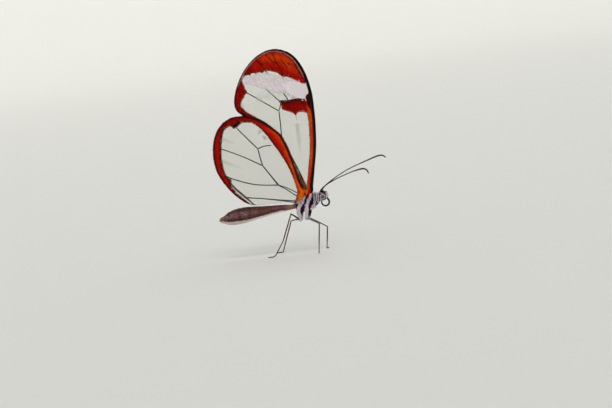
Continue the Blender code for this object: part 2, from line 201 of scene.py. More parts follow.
def add_piece(name, shape, finish, replaced=(), smooth=True):
    """Put a shape (points, faces, values per point, places on the bake map) into an object at the
    origin. The faces are turned round if the closed shape's volume comes out negative."""
    points, faces, values, flat = shape
    fans = [(f[:, 0], f[:, k], f[:, k + 1]) for f in faces for k in range(1, f.shape[1] - 1)]
    volume = sum(np.einsum("ij,ij->", points[a], np.cross(points[b], points[c])) for a, b, c in fans)
    if volume < 0:
        faces = [f[:, ::-1] for f in faces]
    corners = np.concatenate([f.ravel() for f in faces]).astype(np.int32)
    sizes = np.concatenate([np.full(len(f), f.shape[1]) for f in faces])
    mesh = bpy.data.meshes.new(name)
    mesh.vertices.add(len(points))
    mesh.vertices.foreach_set("co", (points * MM).astype(np.float32).ravel())
    mesh.loops.add(len(corners))
    mesh.loops.foreach_set("vertex_index", corners)
    mesh.polygons.add(len(sizes))
    mesh.polygons.foreach_set("loop_start", np.concatenate([[0], np.cumsum(sizes)[:-1]]).astype(np.int32))
    mesh.polygons.foreach_set("use_smooth", np.full(len(sizes), smooth))
    mesh.update(calc_edges=True)
    for key, value in {"place": points, **values}.items():
        kind, field = ("FLOAT_VECTOR", "vector") if np.ndim(value) == 2 else ("FLOAT", "value")
        mesh.attributes.new(key, kind, "POINT").data.foreach_set(field, np.asarray(value, np.float32).ravel())
    if flat is not None:
        mesh.uv_layers.new(name="OFBake").data.foreach_set("uv", flat[corners].astype(np.float32).ravel())
    mesh.materials.append(finish)
    piece = bpy.data.objects.new(name, mesh)
    bpy.context.scene.collection.objects.link(piece)
    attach(piece, "root")
    if replaced:
        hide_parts(*replaced)


def unit(vectors):
    """Each vector divided by its own length."""
    return vectors / np.maximum(np.linalg.norm(vectors, axis=-1, keepdims=True), 1e-12)


def looped(line):
    """The line with its first point added again at its end."""
    return np.vstack([line, line[:1]])


def closed_over(rings, ends=None):
    """The closed surface over rings of equal count: each ring joins the next, and one point at
    each end, the middle of its ring unless given, closes it."""
    n, m = rings.shape[:2]
    ends = (rings[0].mean(0), rings[-1].mean(0)) if ends is None else ends
    points = np.vstack([rings.reshape(-1, 3), *[np.reshape(e, (1, 3)) for e in ends]])
    here = np.arange(n * m).reshape(n, m)
    there = np.roll(here, -1, axis=1)
    quads = np.stack([here[:-1], there[:-1], there[1:], here[1:]], -1).reshape(-1, 4)
    first, last = np.full(m, n * m), np.full(m, n * m + 1)
    fans = np.vstack([np.stack([there[0], here[0], first], 1), np.stack([here[-1], there[-1], last], 1)])
    return points, [quads, fans]


def gather(shapes):
    """Several shapes as one: points are stacked and each shape's faces count on from the last."""
    starts = np.cumsum([0] + [len(s[0]) for s in shapes[:-1]])
    points = np.vstack([s[0] for s in shapes])
    widths = sorted({f.shape[1] for s in shapes for f in s[1]})
    faces = [
        np.vstack([f + k for s, k in zip(shapes, starts) for f in s[1] if f.shape[1] == width])
        for width in widths
    ]
    return points, faces


def smooth_line(points, steps=12, closed=False):
    """Points along a centripetal Catmull-Rom curve: between b and c, each of the curve's three
    layers mixes two neighbours by how far the knot has come between theirs."""
    p = np.asarray(points, float)
    p = np.vstack([p[-1:], p, p[:2]]) if closed else np.vstack([2 * p[0] - p[1], p, 2 * p[-1] - p[-2]])
    a, b, c, d = (p[k : len(p) - 3 + k, None] for k in range(4))
    lengths = [np.sqrt(np.linalg.norm(v - u, axis=2, keepdims=True)) for u, v in ((a, b), (b, c), (c, d))]
    k0 = 0.0
    k1 = lengths[0]
    k2 = k1 + lengths[1]
    k3 = k2 + lengths[2]
    t = k1 + np.linspace(0, 1, steps, endpoint=False)[None, :, None] * (k2 - k1)

    def layer(u, v, low, high):
        return (u * (high - t) + v * (t - low)) / (high - low)

    near, middle, far = layer(a, b, k0, k1), layer(b, c, k1, k2), layer(c, d, k2, k3)
    made = layer(layer(near, middle, k0, k2), layer(middle, far, k1, k3), k1, k2)
    made = made.reshape(-1, p.shape[1])
    return made if closed else np.vstack([made, p[-2]])


def run_of(line):
    """How far along the line each of its points lies."""
    return np.concatenate([[0], np.cumsum(np.linalg.norm(np.diff(line, axis=0), axis=1))])


def even_line(line, count, closed=False):
    """The line read again at count places that lie equally far apart along it."""
    line = looped(line) if closed else np.asarray(line)
    run = run_of(line)
    at = np.linspace(0, run[-1], count, endpoint=not closed)
    return np.stack([np.interp(at, run, column) for column in line.T], 1)


def circle(sides):
    """Points (cos a, sin a), evenly round."""
    a = np.linspace(0, math.tau, sides, endpoint=False)
    return np.stack([np.cos(a), np.sin(a)], 1)


def frame_on(path, across):
    """The directions ahead of, beside and third to a path at each of its points."""
    ahead, across = unit(np.gradient(path, axis=0)), np.asarray(across, float)
    sideways = unit(across - ahead * (ahead @ across)[:, None])
    return ahead, sideways, np.cross(ahead, sideways)


def sweep(path, radii, section, across):
    """A section carried along a path: ring i is the path's point i plus its radius times each of
    the section's points (u, v), with u to the side and v in the third direction."""
    _, sideways, third = frame_on(path, across)
    u, v = section.T[:, None, :, None]
    return closed_over(path[:, None] + radii[:, None, None] * (u * sideways[:, None] + v * third[:, None]))


def rod(path, radii, sides, across, flatness=1.0):
    """A rod with round ends along a path. Its section is a circle, times the flatness in the third
    direction, and near an end the radius follows a half circle."""
    run = run_of(path)
    left = np.minimum(run, run[-1] - run)
    radii = np.broadcast_to(np.asarray(radii, float), len(path))
    radii = radii * np.sqrt(1 - (1 - np.clip(left / np.maximum(radii, 1e-6), 0.02, 1)) ** 2)
    return sweep(path, radii, circle(sides) * (1, flatness), across)


# %% [markdown]
# ## Small scales
# A butterfly's colours sit on tiny overlapping scales, like shingles, and its body wears longer,
# hair-like ones. Particle hair would not survive an export, so each scale here is a small closed
# mesh. One plain shape is copied thousands of times by adding arrays, with its own size and lean,
# and every scale carries the place of its root, so that it takes the colour of the skin beneath.

# %% Scales
TUFT_PATCH = 0.003  # size of one scale on the bake map

# Each plain shape is points (along, across, up) with faces, in shares of length, width and height.
SHINGLE = (
    np.array([(0, 0, 0), (0.45, -0.5, 0), (0.95, -0.32, 0), (0.95, 0.32, 0), (0.45, 0.5, 0), (0.5, 0, 1)]),
    np.array([(0, 1, 5), (1, 2, 5), (2, 3, 5), (3, 4, 5), (4, 0, 5), (0, 2, 1), (0, 3, 2), (0, 4, 3)]),
)
LOCK = (
    np.array([
        (0, -0.4, 0), (0, 0.4, 0), (0.08, 0, 0.8), (0.4, -0.5, 0), (0.4, 0.5, 0), (0.46, 0, 1),
        (0.75, -0.3, 0), (0.75, 0.3, 0), (0.8, 0, 0.7), (1, 0, 0.1),
    ]),
    np.array([
        (0, 3, 5), (0, 5, 2), (2, 5, 4), (2, 4, 1), (1, 4, 3), (1, 3, 0),
        (3, 6, 8), (3, 8, 5), (5, 8, 7), (5, 7, 4), (4, 7, 6), (4, 6, 3),
        (6, 9, 8), (8, 9, 7), (7, 9, 6), (0, 2, 1),
    ]),
)


def strew(plain, roots, normals, lie, length, width, height, lift, flat, values, arch=0.0):
    """Copy a plain scale to every root. A point (u, v, w) of it goes to root + u length ahead +
    v width across + w height up + arch u (1 - u) length up, where ahead is the lie of the coat laid
    into the skin and then lifted off it by the lift angle."""
    local, faces = plain
    normals = unit(normals)
    lie = unit(lie - normals * (lie * normals).sum(1, keepdims=True))
    lift = np.broadcast_to(lift, len(roots))[:, None]
    ahead = lie * np.cos(lift) + normals * np.sin(lift)
    up = normals * np.cos(lift) - lie * np.sin(lift)
    across = np.cross(up, ahead)
    u, v, w = (local[:, k][None, :, None] for k in range(3))
    sizes = (length, width, height)
    length, width, height = (np.broadcast_to(s, len(roots))[:, None, None] for s in sizes)
    rise = w * height + arch * u * (1 - u) * length
    points = roots[:, None] + u * length * ahead[:, None] + v * width * across[:, None] + rise * up[:, None]
    count = len(local)
    tiles = (faces[None] + (np.arange(len(roots)) * count)[:, None, None]).reshape(-1, 3)
    patch = (local[:, :2] - (0.5, 0)) * TUFT_PATCH
    flat = (flat[:, None] + patch[None]).reshape(-1, 2)
    values = {key: np.repeat(value, count, axis=0) for key, value in {"place": roots, **values}.items()}
    return points.reshape(-1, 3), [tiles], values, flat


def gather_coats(coats):
    """Several coats as one shape, with their values and their places on the bake map."""
    points, faces = gather(coats)
    values = {key: np.concatenate([c[2][key] for c in coats]) for key in coats[0][2]}
    return points, faces, values, np.vstack([c[3] for c in coats])


def lattice(low, high, gap, draw, jitter=0.3):
    """Places on a triangular lattice with that gap over a rectangle, each pushed a little off."""
    xs, ys = np.arange(low[0], high[0], gap), np.arange(low[1], high[1], gap * 0.87)
    grid = np.stack(np.meshgrid(xs, ys, indexing="ij"), -1)
    grid[:, 1::2, 0] += gap / 2
    grid = grid.reshape(-1, 2)
    return grid + draw.normal(0, jitter * gap, grid.shape)


# %% [markdown]
# ## Outlines and distances
# A wing's markings follow its edge, its veins and a few drawn lines. All of them are distances: how
# deep a point lies inside a closed outline, or how far it is from a line. Distances change evenly
# over a wing, so a mesh carries them well between its points, and the finish can draw a crisp edge.

# %% Distances
def nearest(points, line, chunk=4000):
    """Distance of each point from a polyline, and where along it, counted in its points: the foot
    of the perpendicular on each run, kept between the run's ends, and the nearest of them all."""
    start, run = line[:-1], np.diff(line, axis=0)
    square = np.maximum((run**2).sum(1), 1e-12)
    found = []
    for part in np.array_split(points, max(1, len(points) // chunk)):
        share = np.clip(((part[:, None] - start) * run).sum(2) / square, 0, 1)
        gap = np.linalg.norm(part[:, None] - (start + share[..., None] * run), axis=2)
        best = gap.argmin(1)
        rows = np.arange(len(part))
        found.append(np.stack([gap[rows, best], best + share[rows, best]]))
    return np.hstack(found)


def inside(points, loop):
    """True where a ray to the right crosses the closed outline an odd number of times."""
    a, b = loop, np.roll(loop, -1, axis=0)
    x, z = points[:, 0, None], points[:, 1, None]
    spans = (a[:, 1] > z) != (b[:, 1] > z)
    rise = np.where(np.abs(b[:, 1] - a[:, 1]) < 1e-12, 1e-12, b[:, 1] - a[:, 1])
    return (spans & (x < a[:, 0] + (z - a[:, 1]) * (b[:, 0] - a[:, 0]) / rise)).sum(1) % 2 == 1


def depth_in(points, loop):
    """How deep each point lies inside a closed outline, negative outside it."""
    away = nearest(points, looped(loop))[0]
    return np.where(inside(points, loop), away, -away)


def climb(value, low, high):
    """0 at low, 1 at high and evenly between, held beyond them. It falls where high is below low."""
    return np.clip((value - low) / (high - low), 0, 1)


def read_table(table, x):
    """Each further column of a table, read at x in its first one."""
    rows = np.asarray(table, float)
    return [np.interp(x, rows[:, 0], column) for column in rows.T[1:]]


def stroke(points, line, widths, strengths):
    """A soft brush stroke along a line: strength times 1 - (distance / half width) squared. Both
    are one number, or are read along the line from one at each of its points."""
    away, at = nearest(points, np.asarray(line, float))
    index = np.arange(len(line))
    width, strength = (np.interp(at, index, np.broadcast_to(v, len(line))) for v in (widths, strengths))
    return strength * np.clip(1 - (away / width) ** 2, 0, 1)


def painted(points, strokes):
    """The strongest of several strokes (line, half widths, strengths) at each point."""
    return np.maximum.reduce([stroke(points, *one) for one in strokes])


# %% [markdown]
# ## Where the wings stand
# The four wings stand nearly upright, with the hindwing outside the forewing. A wing is a thin film,
# so its shape is one number at each place in side view: how far it stands from the body's middle.
# It is smallest far up, where left and right wings nearly touch, and grows towards the root, where
# the hindwing has to lap the thorax.

# %% Wing places
THORAX = np.array([
    # x, top, underside, half width
    (-0.95, 9.52, 8.90, 0.20), (-0.80, 10.00, 8.60, 0.50), (-0.45, 10.55, 8.22, 0.90),
    (0.20, 11.05, 7.94, 1.20), (0.90, 11.30, 7.82, 1.32), (1.50, 11.33, 7.96, 1.30),
    (2.00, 11.20, 8.42, 1.10), (2.35, 10.92, 8.92, 0.78), (2.52, 10.48, 9.45, 0.40),
])
WING_SIDE, FORE_SPREAD, HIND_SPREAD = 0.32, 0.30, 1.12
LAYER = 0.07  # how far each wing stands off the shared sheet of its side
LEFT_LAG = (-0.17, -0.05)  # how far the left wings are swung back and down beyond the right ones
HUG = 0.16  # how close the hindwing's root comes to the thorax
WING_ROOT = (1.5, 11.0)


def fore_side(points):
    """Side of the forewing: a little wider near its root, as exp(-((z - 11) / 5) squared)."""
    return WING_SIDE + FORE_SPREAD * np.exp(-(((points[:, 1] - 11.0) / 5.0) ** 2)) - LAYER


def hind_side(points):
    """Side of the hindwing: the sheet bulges round the thorax and is never nearer to it than HUG."""
    back = np.maximum(0.6 - points[:, 0], 0) / 3.4
    rise = np.maximum(points[:, 1] - 11.0, 0) / 4.4
    free = WING_SIDE + HIND_SPREAD * np.exp(-(back**2) - rise**4)
    top, under, half = read_table(THORAX, points[:, 0])
    height = (points[:, 1] - (top + under) / 2) / ((top - under) / 2)
    return np.maximum(free, half * np.sqrt(np.clip(1 - height**2, 0, 1)) + HUG) + LAYER


def in_wing(points, side_of, side, off=0.0):
    """Where places (x, z) of a wing lie in space: at its side plus off plus a shallow ripple, the
    product of two sines. The left wings lag, more and more over the first 5 mm from the root."""
    x, z = points[..., 0], points[..., 1]
    ripple = 0.04 * np.sin(0.9 * x + 0.5 * z) * np.sin(0.8 * z)
    away = side_of(points.reshape(-1, 2)).reshape(x.shape) + ripple + off
    lag = climb(np.hypot(x - WING_ROOT[0], z - WING_ROOT[1]), 0, 5) * (side > 0)
    return np.stack([x + lag * LEFT_LAG[0], side * away, z + lag * LEFT_LAG[1]], -1)


def beside(line, distance):
    """The line moved sideways, to its right when distance is positive."""
    ahead = unit(np.gradient(np.array(line, float), axis=0))
    return np.array(line) + distance * np.stack([ahead[:, 1], -ahead[:, 0]], 1)


# %% [markdown]
# ## Outlines and veins
# Each outline runs through a few measured points as a smooth curve. The forewing reaches on beneath
# the hindwing's leading band, as a real one does, so no slit shows between them.

# %% Outlines and veins
HIND_LEAD = [
    (1.22, 10.70), (1.46, 11.70), (0.95, 13.00), (0.38, 14.80), (-0.45, 18.00), (-1.15, 20.50),
    (-2.15, 22.75), (-4.09, 24.66), (-5.93, 25.96), (-7.86, 26.77),
]
HIND_REST = [
    (-9.86, 27.07), (-11.92, 26.72), (-13.86, 25.36), (-15.05, 23.40), (-15.68, 20.60),
    (-15.46, 17.34), (-14.62, 15.35), (-13.27, 13.26), (-11.60, 11.50), (-10.05, 10.40),
    (-8.30, 9.98), (-5.60, 9.88), (-2.90, 9.82), (-0.95, 9.74), (0.12, 9.90), (0.76, 10.20),
]
FORE_OUTER = [
    (1.62, 11.05), (2.38, 10.90), (2.82, 12.70), (3.56, 15.50), (4.38, 19.30), (4.83, 23.10),
    (5.01, 26.55), (4.94, 30.30), (3.88, 34.70), (1.88, 37.65), (-1.30, 38.88), (-4.62, 37.98),
    (-7.59, 35.43), (-9.70, 31.80), (-10.25, 29.51), (-10.00, 28.20), (-9.10, 27.30),
]
FORE_UNDER = [
    (-7.90, 26.30), (-5.60, 25.10), (-3.90, 23.80), (-2.45, 22.20), (-1.60, 20.30), (-0.90, 17.90),
    (-0.05, 14.80), (0.55, 13.00), (1.05, 11.90),
]
FORE_VEINS = [
    [(2.44, 11.60), (3.10, 15.50), (3.92, 19.40), (4.36, 23.20), (4.54, 26.60), (4.44, 30.40), (3.36, 34.40),
     (1.25, 37.30)],
    [(2.25, 12.00), (2.68, 15.60), (3.46, 19.60), (3.88, 23.40), (4.02, 26.60), (3.72, 28.75), (2.55, 33.40),
     (0.65, 36.90)],
    [(1.95, 11.40), (1.55, 12.60), (0.52, 15.96), (-0.68, 19.09), (-1.88, 22.35)],
    [(-1.88, 22.35), (-1.80, 24.80), (-1.75, 27.28)],
    [(-1.75, 27.28), (-1.42, 28.10), (-1.18, 28.90)],
    [(-1.18, 28.90), (0.17, 28.80), (1.60, 29.00), (3.30, 28.76)],
    [(-1.75, 27.28), (-4.83, 29.47), (-7.60, 31.37), (-9.20, 31.95)],
    [(-1.18, 28.90), (-4.05, 32.00), (-6.90, 35.10)],
    [(0.42, 28.85), (-0.20, 30.10), (-2.05, 33.00), (-4.95, 37.50)],
    [(1.20, 29.00), (0.10, 33.30), (-1.75, 38.35)],
    [(-1.88, 22.35), (-3.60, 24.35), (-5.35, 25.85), (-7.60, 27.05), (-9.30, 28.00)],
]
HIND_VEINS = [
    [(0.50, 10.90), (0.40, 12.80), (-0.15, 14.70), (-1.02, 17.90), (-1.75, 20.40), (-3.10, 23.10),
     (-5.90, 25.30), (-9.30, 26.40)],
    [(0.40, 10.60), (-0.60, 11.35), (-2.20, 12.50), (-3.70, 13.32)],
    [(-3.70, 13.32), (-5.00, 15.30), (-6.30, 17.32)],
    [(-6.30, 17.32), (-6.62, 19.00), (-6.84, 20.62)],
    [(-6.84, 20.62), (-8.80, 22.95), (-10.50, 25.02)],
    [(-6.84, 20.62), (-5.60, 20.98), (-4.10, 20.98)],
    [(-6.30, 17.32), (-10.13, 19.52), (-13.83, 21.27), (-15.20, 21.85)],
    [(-3.70, 13.32), (-7.73, 13.80), (-9.98, 14.42), (-13.45, 15.85), (-14.50, 16.45)],
    [(-0.30, 9.86), (-1.09, 9.92), (-3.22, 10.33), (-5.36, 10.75), (-7.50, 11.16), (-10.08, 11.58),
     (-11.10, 12.00)],
]
STEPS = 12
fore_edge = smooth_line(FORE_OUTER + FORE_UNDER, STEPS, closed=True)
hind_edge = smooth_line(HIND_LEAD + HIND_REST, STEPS, closed=True)
for word, edge in (("forewing", fore_edge), ("hindwing", hind_edge)):
    print(word, "outline", np.round(np.ptp(edge, axis=0), 1), "mm")

# %% [markdown]
# ## Markings of the forewing
# The forewing has a red apex below a black edge, a red spot at the end of its cell, a red band
# along its outer margin, an orange band along its leading edge and a milky white band that crosses
# below the apex. Each is a drawn line or outline, turned into distances.

# %% Forewing markings
APEX_FOOT = [
    (-9.5, 34.2), (-8.30, 34.22), (-7.78, 34.58), (-7.09, 34.72), (-6.40, 34.70), (-6.11, 35.02),
    (-5.33, 34.82), (-4.81, 35.00), (-3.97, 34.80), (-3.42, 35.14), (-2.46, 34.98), (-1.15, 34.54),
    (-0.62, 34.02), (-0.28, 33.66), (0.46, 33.62), (1.28, 33.28), (2.42, 32.56), (3.09, 32.02),
    (3.78, 31.75), (4.37, 31.95), (4.84, 32.05), (5.6, 32.0),
]
RED_SPOT = np.array([
    (-1.12, 29.02), (-1.14, 28.30), (-1.10, 27.57), (-0.31, 27.19), (0.86, 26.71), (1.35, 26.15),
    (1.91, 26.66), (2.71, 26.64), (3.25, 26.50), (4.75, 26.20), (4.80, 29.20), (4.17, 29.26),
    (3.46, 28.75), (2.39, 29.02), (1.16, 29.05), (-0.11, 28.80),
])
OUTER_BAND = np.array([
    (-8.30, 34.25), (-8.11, 33.15), (-7.81, 32.16), (-7.45, 31.45), (-8.00, 31.10), (-8.33, 30.53),
    (-8.85, 29.86), (-9.10, 29.41), (-9.04, 28.68), (-8.46, 28.14), (-7.75, 27.42), (-6.55, 26.62),
    (-5.19, 25.66), (-3.85, 24.60), (-1.90, 22.70), (-0.95, 20.40), (-0.25, 18.00), (0.58, 14.80),
    (1.15, 13.00), (1.55, 12.00), (1.0, 10.0), (-12.0, 10.0), (-12.0, 34.25),
])
COSTA_BLACK = (
    # count of outline points, width of the black edge
    (0, 0.16), (2, 0.22), (3, 0.26), (4, 0.30), (5, 0.34), (6, 0.42), (7, 0.52), (8, 0.52), (9, 0.46),
    (10, 0.32), (11, 0.22), (12, 0.15), (13, 0.18), (14, 0.21), (16, 0.20), (26, 0.2),
)

# Each stroke is a line, its half widths and its strengths.
WHITE_STROKES = (
    ([(-7.95, 33.85), (-6.60, 33.70), (-5.31, 33.20), (-3.31, 32.30), (-1.44, 31.75), (0.36, 31.85),
      (1.46, 31.30), (2.98, 30.60), (4.45, 31.00)],
     (0.85, 1.05, 1.10, 1.25, 1.45, 1.65, 1.80, 1.80, 1.40),
     (0.80, 0.66, 0.56, 0.46, 0.60, 0.90, 1.35, 2.00, 2.20)),
    ([(3.50, 30.0), (3.36, 28.7)], (0.7, 0.45), (1.4, 1.2)),
    ([(-6.6, 34.1), (-3.4, 33.9), (-0.8, 33.2), (1.6, 32.5), (3.6, 31.6)],
     (0.7, 1.2, 1.1, 0.9, 0.7), (0.6, 0.40, 0.38, 0.44, 0.7)),
    ([(0.8, 30.8), (1.25, 29.3)], (0.5, 0.3), (0.40, 0.36)),
    ([(-8.95, 29.6), (-8.75, 28.8)], (0.4, 0.5), (0.45, 0.35)),
)
DARK_STROKES = (
    ([(-1.12, 28.95), (-0.1, 28.75), (1.16, 29.0), (2.39, 28.95), (3.4, 28.75)],
     (0.46, 0.54, 0.36, 0.46, 0.3), (1.2, 1.4, 1.0, 1.4, 0.8)),
    ([(4.5, 26.2), (4.20, 27.9), (4.20, 29.2), (4.5, 30.2)], (0.14, 0.52, 0.56, 0.20), (0.5, 1.3, 1.5, 0.3)),
    ([(4.36, 31.3), (4.24, 32.4)], 0.12, 0.9),
    ([(2.7, 35.6), (3.5, 33.8), (3.9, 32.7)], (0.6, 0.5, 0.4), (0.5, 0.6, 0.8)),
    ([(-3.1, 38.1), (-1.8, 36.6), (-0.9, 36.1)], 0.28, 0.75),
    ([(1.1, 35.9), (2.0, 35.5)], 0.28, 0.75),
    ([(-4.6, 36.9), (-3.8, 36.1)], 0.28, 0.75),
    ([(-0.26, 36.9), (0.9, 35.2)], 0.28, 0.75),
    ([(2.3, 35.6), (3.2, 33.6)], 0.28, 0.75),
    ([(-0.8, 28.4), (1.0, 28.2), (3.4, 28.1)], (0.7, 0.8, 0.7), (0.55, 0.5, 0.6)),
)
APEX_GLOW = ([(-3.4, 37.4), (-0.6, 37.0), (1.6, 35.5), (3.0, 33.6)], (0.8, 1.1, 1.2, 0.7),
             (0.14, 0.22, 0.30, 0.16))
# Painted shade on the forewing: a short dark line below the red spot, a broad soft band beneath it and a
# faint bar across the band's top.
PAINTED_SHADE_STROKES = (
    ([(1.42, 26.4), (1.42, 25.2)], (0.14, 0.10), (1.6, 0.6)),
    ([(1.42, 24.4), (1.38, 21.5), (1.35, 19.2)], (0.35, 0.5, 0.3), (0.7, 0.5, 0.2)),
    ([(0.5, 24.4), (1.4, 24.1), (2.3, 24.3)], 0.25, (0.1, 0.5, 0.1)),
)
BROWN_WEDGE = ([(1.50, 12.3), (1.24, 13.2), (0.62, 15.0)], (0.20, 0.26, 0.12), (0.6, 1.1, 0.6))


def along_edge(points, edge, table):
    """A number read along the outline from a table of (count of outline points, number)."""
    return read_table(table, nearest(points, looped(edge))[1] / STEPS)[0]


def fore_marks(points):
    """Distances and strengths of the forewing's markings and of its painted shade at each (x, z)."""
    x, z = points.T
    edge = nearest(points, looped(fore_edge))[0]
    costa = nearest(points, fore_edge[: 9 * STEPS])[0]
    apex = z - read_table(APEX_FOOT, x)[0]
    spot = depth_in(points, RED_SPOT)
    band = 1.04 + 0.08 * climb(z, 18, 22) - 0.16 * climb(z, 16, 11)
    band = band + 0.22 * climb(z, 23.5, 26.5) - costa - 1.3 * climb(z, 29.4, 30.3)
    haze = 0.22 * climb(np.abs(z - 0.25 * x - 31.4), 2.6, 0) * (apex < 0) * (x > -6)
    hem = stroke(points, beside(HIND_LEAD[1:], 0.05), 0.11, 1.3) * (x > -8.2)
    veins = painted(points, [(vein, 0.22, 0.75) for vein in FORE_VEINS[7:10]]) * (apex > -0.4)
    dark = [painted(points, DARK_STROKES), veins, hem * climb(z, 16, 21), 0.40 * climb(apex, 0, 0.4)]
    root = climb(z, 12.4, 11.9) * climb(x, 2.0, 1.8)
    warm = 0.32 + 0.36 * climb(band, -0.05, 0.05) * climb(z, 31, 28)
    warm = warm - 0.15 * climb(spot, 0, 0.3) * (costa > 1.1)
    warm = warm - 0.17 * climb(x, -5.0, -7.5) + 0.14 * climb(z, 35, 38)
    warm = warm - 0.05 * climb(z, 18, 15) * climb(z, 12.6, 13.8) + stroke(points, *APEX_GLOW)
    warm = warm - 0.14 * np.clip(0.8 - apex, 0, 0.8) * (z > 33) + 0.34 * root
    return {
        "red": np.maximum.reduce([apex, spot, depth_in(points, OUTER_BAND), band]),
        "edge": edge + 0.4 * root, "rim": along_edge(points, fore_edge, COSTA_BLACK),
        "white": np.maximum(painted(points, WHITE_STROKES), haze), "dark": np.maximum.reduce(dark),
        # painted shade on the forewing, from the strokes above
        "warm": warm, "veil": painted(points, PAINTED_SHADE_STROKES), "lining": np.full(len(x), 0.06),
        "crest": climb(z, 32.3, 33.1), "brown": np.maximum(stroke(points, *BROWN_WEDGE), hem),
    }

# %% [markdown]
# ## Markings of the hindwing
# The hindwing is one clear window in an orange-red frame. The frame is simply what lies outside the
# window's outline. A dark line runs along its outer edge and another along the window, thick on
# the hind side and swollen to a black patch where one vein meets the frame.

# %% Hindwing markings
WINDOW = np.array([
    (-11.74, 25.47), (-10.95, 25.10), (-10.40, 25.25), (-9.60, 25.88), (-8.55, 25.85), (-7.45, 25.72),
    (-6.65, 25.21), (-5.66, 24.27), (-4.61, 22.84), (-3.61, 21.06), (-2.60, 19.39), (-1.58, 17.26),
    (-0.80, 15.38), (-0.10, 13.27), (0.18, 12.10), (0.06, 11.10), (-0.18, 10.30), (-0.62, 9.60),
    (-1.0, 8.5), (-9.0, 8.5), (-9.55, 10.15), (-10.95, 11.45), (-12.40, 13.00), (-13.00, 14.10),
    (-13.14, 15.30), (-13.66, 16.07), (-13.99, 16.83), (-14.17, 18.29), (-14.21, 19.85),
    (-13.98, 21.63), (-13.62, 23.40), (-13.22, 24.56), (-12.60, 25.15),
])
HIND_BLACK = (
    (0, 0.0), (4, 0.12), (9, 0.16), (11, 0.19), (13, 0.25), (15, 0.23), (17, 0.15), (18, 0.11),
    (19, 0.09), (20, 0.03), (21, 0), (26, 0),
)
BLACK_PATCHES = (
    ([(-11.0, 25.15), (-10.35, 25.55), (-9.6, 25.9)], (0.34, 0.38, 0.22), (1.8, 1.9, 1.5)),
    ([(-13.1, 15.3), (-13.0, 14.3)], (0.35, 0.25), (1.3, 1.0)),
    ([(-13.4, 15.85), (-13.9, 16.1)], (0.25, 0.2), (1.0, 0.7)),
    ([(-12.95, 14.4), (-12.05, 13.25), (-10.55, 11.75), (-8.68, 9.8)], (0.22, 0.27, 0.25, 0.13),
     (1.3, 1.4, 1.3, 0.9)),
)
BROWN_LINE = ([(1.26, 12.2), (0.97, 13.0), (0.40, 14.8), (-0.35, 17.6), (-1.0, 20.0)],
              (0.14, 0.20, 0.19, 0.16, 0.10), (1.0, 1.8, 1.8, 1.6, 0.9))
STAINS = (
    ([(-5.21, 22.54), (-5.5, 22.9)], (0.42, 0.3), (1.2, 0.5)),
    ([(-5.97, 23.82), (-6.3, 23.5)], (0.5, 0.4), (0.6, 0.4)),
    ([(-14.0, 23.3), (-11.2, 22.2)], (0.5, 0.35), (0.6, 0.1)),
    ([(-14.0, 18.9), (-10.4, 17.3)], (0.45, 0.3), (0.6, 0.1)),
)


def hind_marks(points):
    """Distances and strengths of the hindwing's markings and of a painted highlight at each (x, z)."""
    x, z = points.T
    edge = nearest(points, looped(hind_edge))[0]
    lead = nearest(points, hind_edge[: 8 * STEPS])[0]
    red = -depth_in(points, WINDOW)
    lining = 0.09 + 0.15 * climb(x, -12.0, -13.5) * climb(z, 13, 15) + 0.05 * climb(z, 14, 12)
    front = np.clip(1.3 - lead, 0, 1) * climb(x, -7, -4)
    # The gleam is a painted highlight: a bright line inside the leading band that warms its colour.
    gleam = stroke(points, beside(HIND_LEAD[1:8], -0.42), 0.22, (1.0, 1.0, 1.0, 0.9, 0.8, 0.5, 0.2))
    warm = 0.37 + 0.38 * np.clip(0.62 - np.abs(lead - 0.60), 0, 1) * climb(x, -6, -3)
    warm = warm - 0.09 * climb(x, -9, -11) - 0.16 * climb(z, 24, 25.5)
    warm = warm + 0.38 * climb(z, 13.6, 10.6) * (x > -3) + 0.18 * gleam
    tan = 0.26 * climb(z, 12, 11) * (x > -1) * (red > 0.05)
    maroon = 0.74 * climb(red, 0.50, 0.25) * (red > 0) * climb(x, -8, -5) * climb(z, 12.5, 14.5)
    return {
        "red": red, "edge": edge + 0.4 * climb(z, 12.3, 11.8) * (x > -1),
        "rim": along_edge(points, hind_edge, HIND_BLACK), "white": np.zeros(len(x)),
        "dark": np.maximum(painted(points, BLACK_PATCHES), maroon), "warm": warm,
        "veil": painted(points, STAINS), "brown": np.maximum(stroke(points, *BROWN_LINE), tan),
        "lining": np.where(front > 0.2, 0.03, lining), "crest": np.zeros(len(x)),
    }


sample = np.array([(0.0, 37.0), (-3.0, 30.0), (1.0, 27.6)])
print("forewing red depth at apex, cell and spot:", np.round(fore_marks(sample)["red"], 2))

# %% [markdown]
# ## The finish of film and scales
# The film is clear with a faint grey veil. Where scales cover it, it turns opaque and takes their
# colour. One set of shader formulas serves both the film and the scales on it, so their markings
# always agree: red where the depth is positive, dark along rims and linings, white where stroked.

# %% Wing finishes
DEEP_RED, BRIGHT_RED = (0.22, 0.0006, 0.0003), (0.58, 0.007, 0.0003)
ORANGE_RED, ORANGE = (0.78, 0.070, 0.0008), (0.92, 0.215, 0.004)
BROWN = (0.24, 0.105, 0.022)
EDGE_BLACK, MAROON = (0.008, 0.005, 0.005), (0.030, 0.003, 0.003)
# The brown on the next line is for stains on the hindwing and painted shade on the forewing.
MILK, FILM_TINT, STAIN_AND_SHADE_BROWN = (0.96, 0.87, 0.92), (0.46, 0.46, 0.34), (0.30, 0.24, 0.12)
PINK_LINE, PLUM = (0.60, 0.30, 0.27), (0.045, 0.002, 0.008)
CLEAR_ALPHA = 0.085


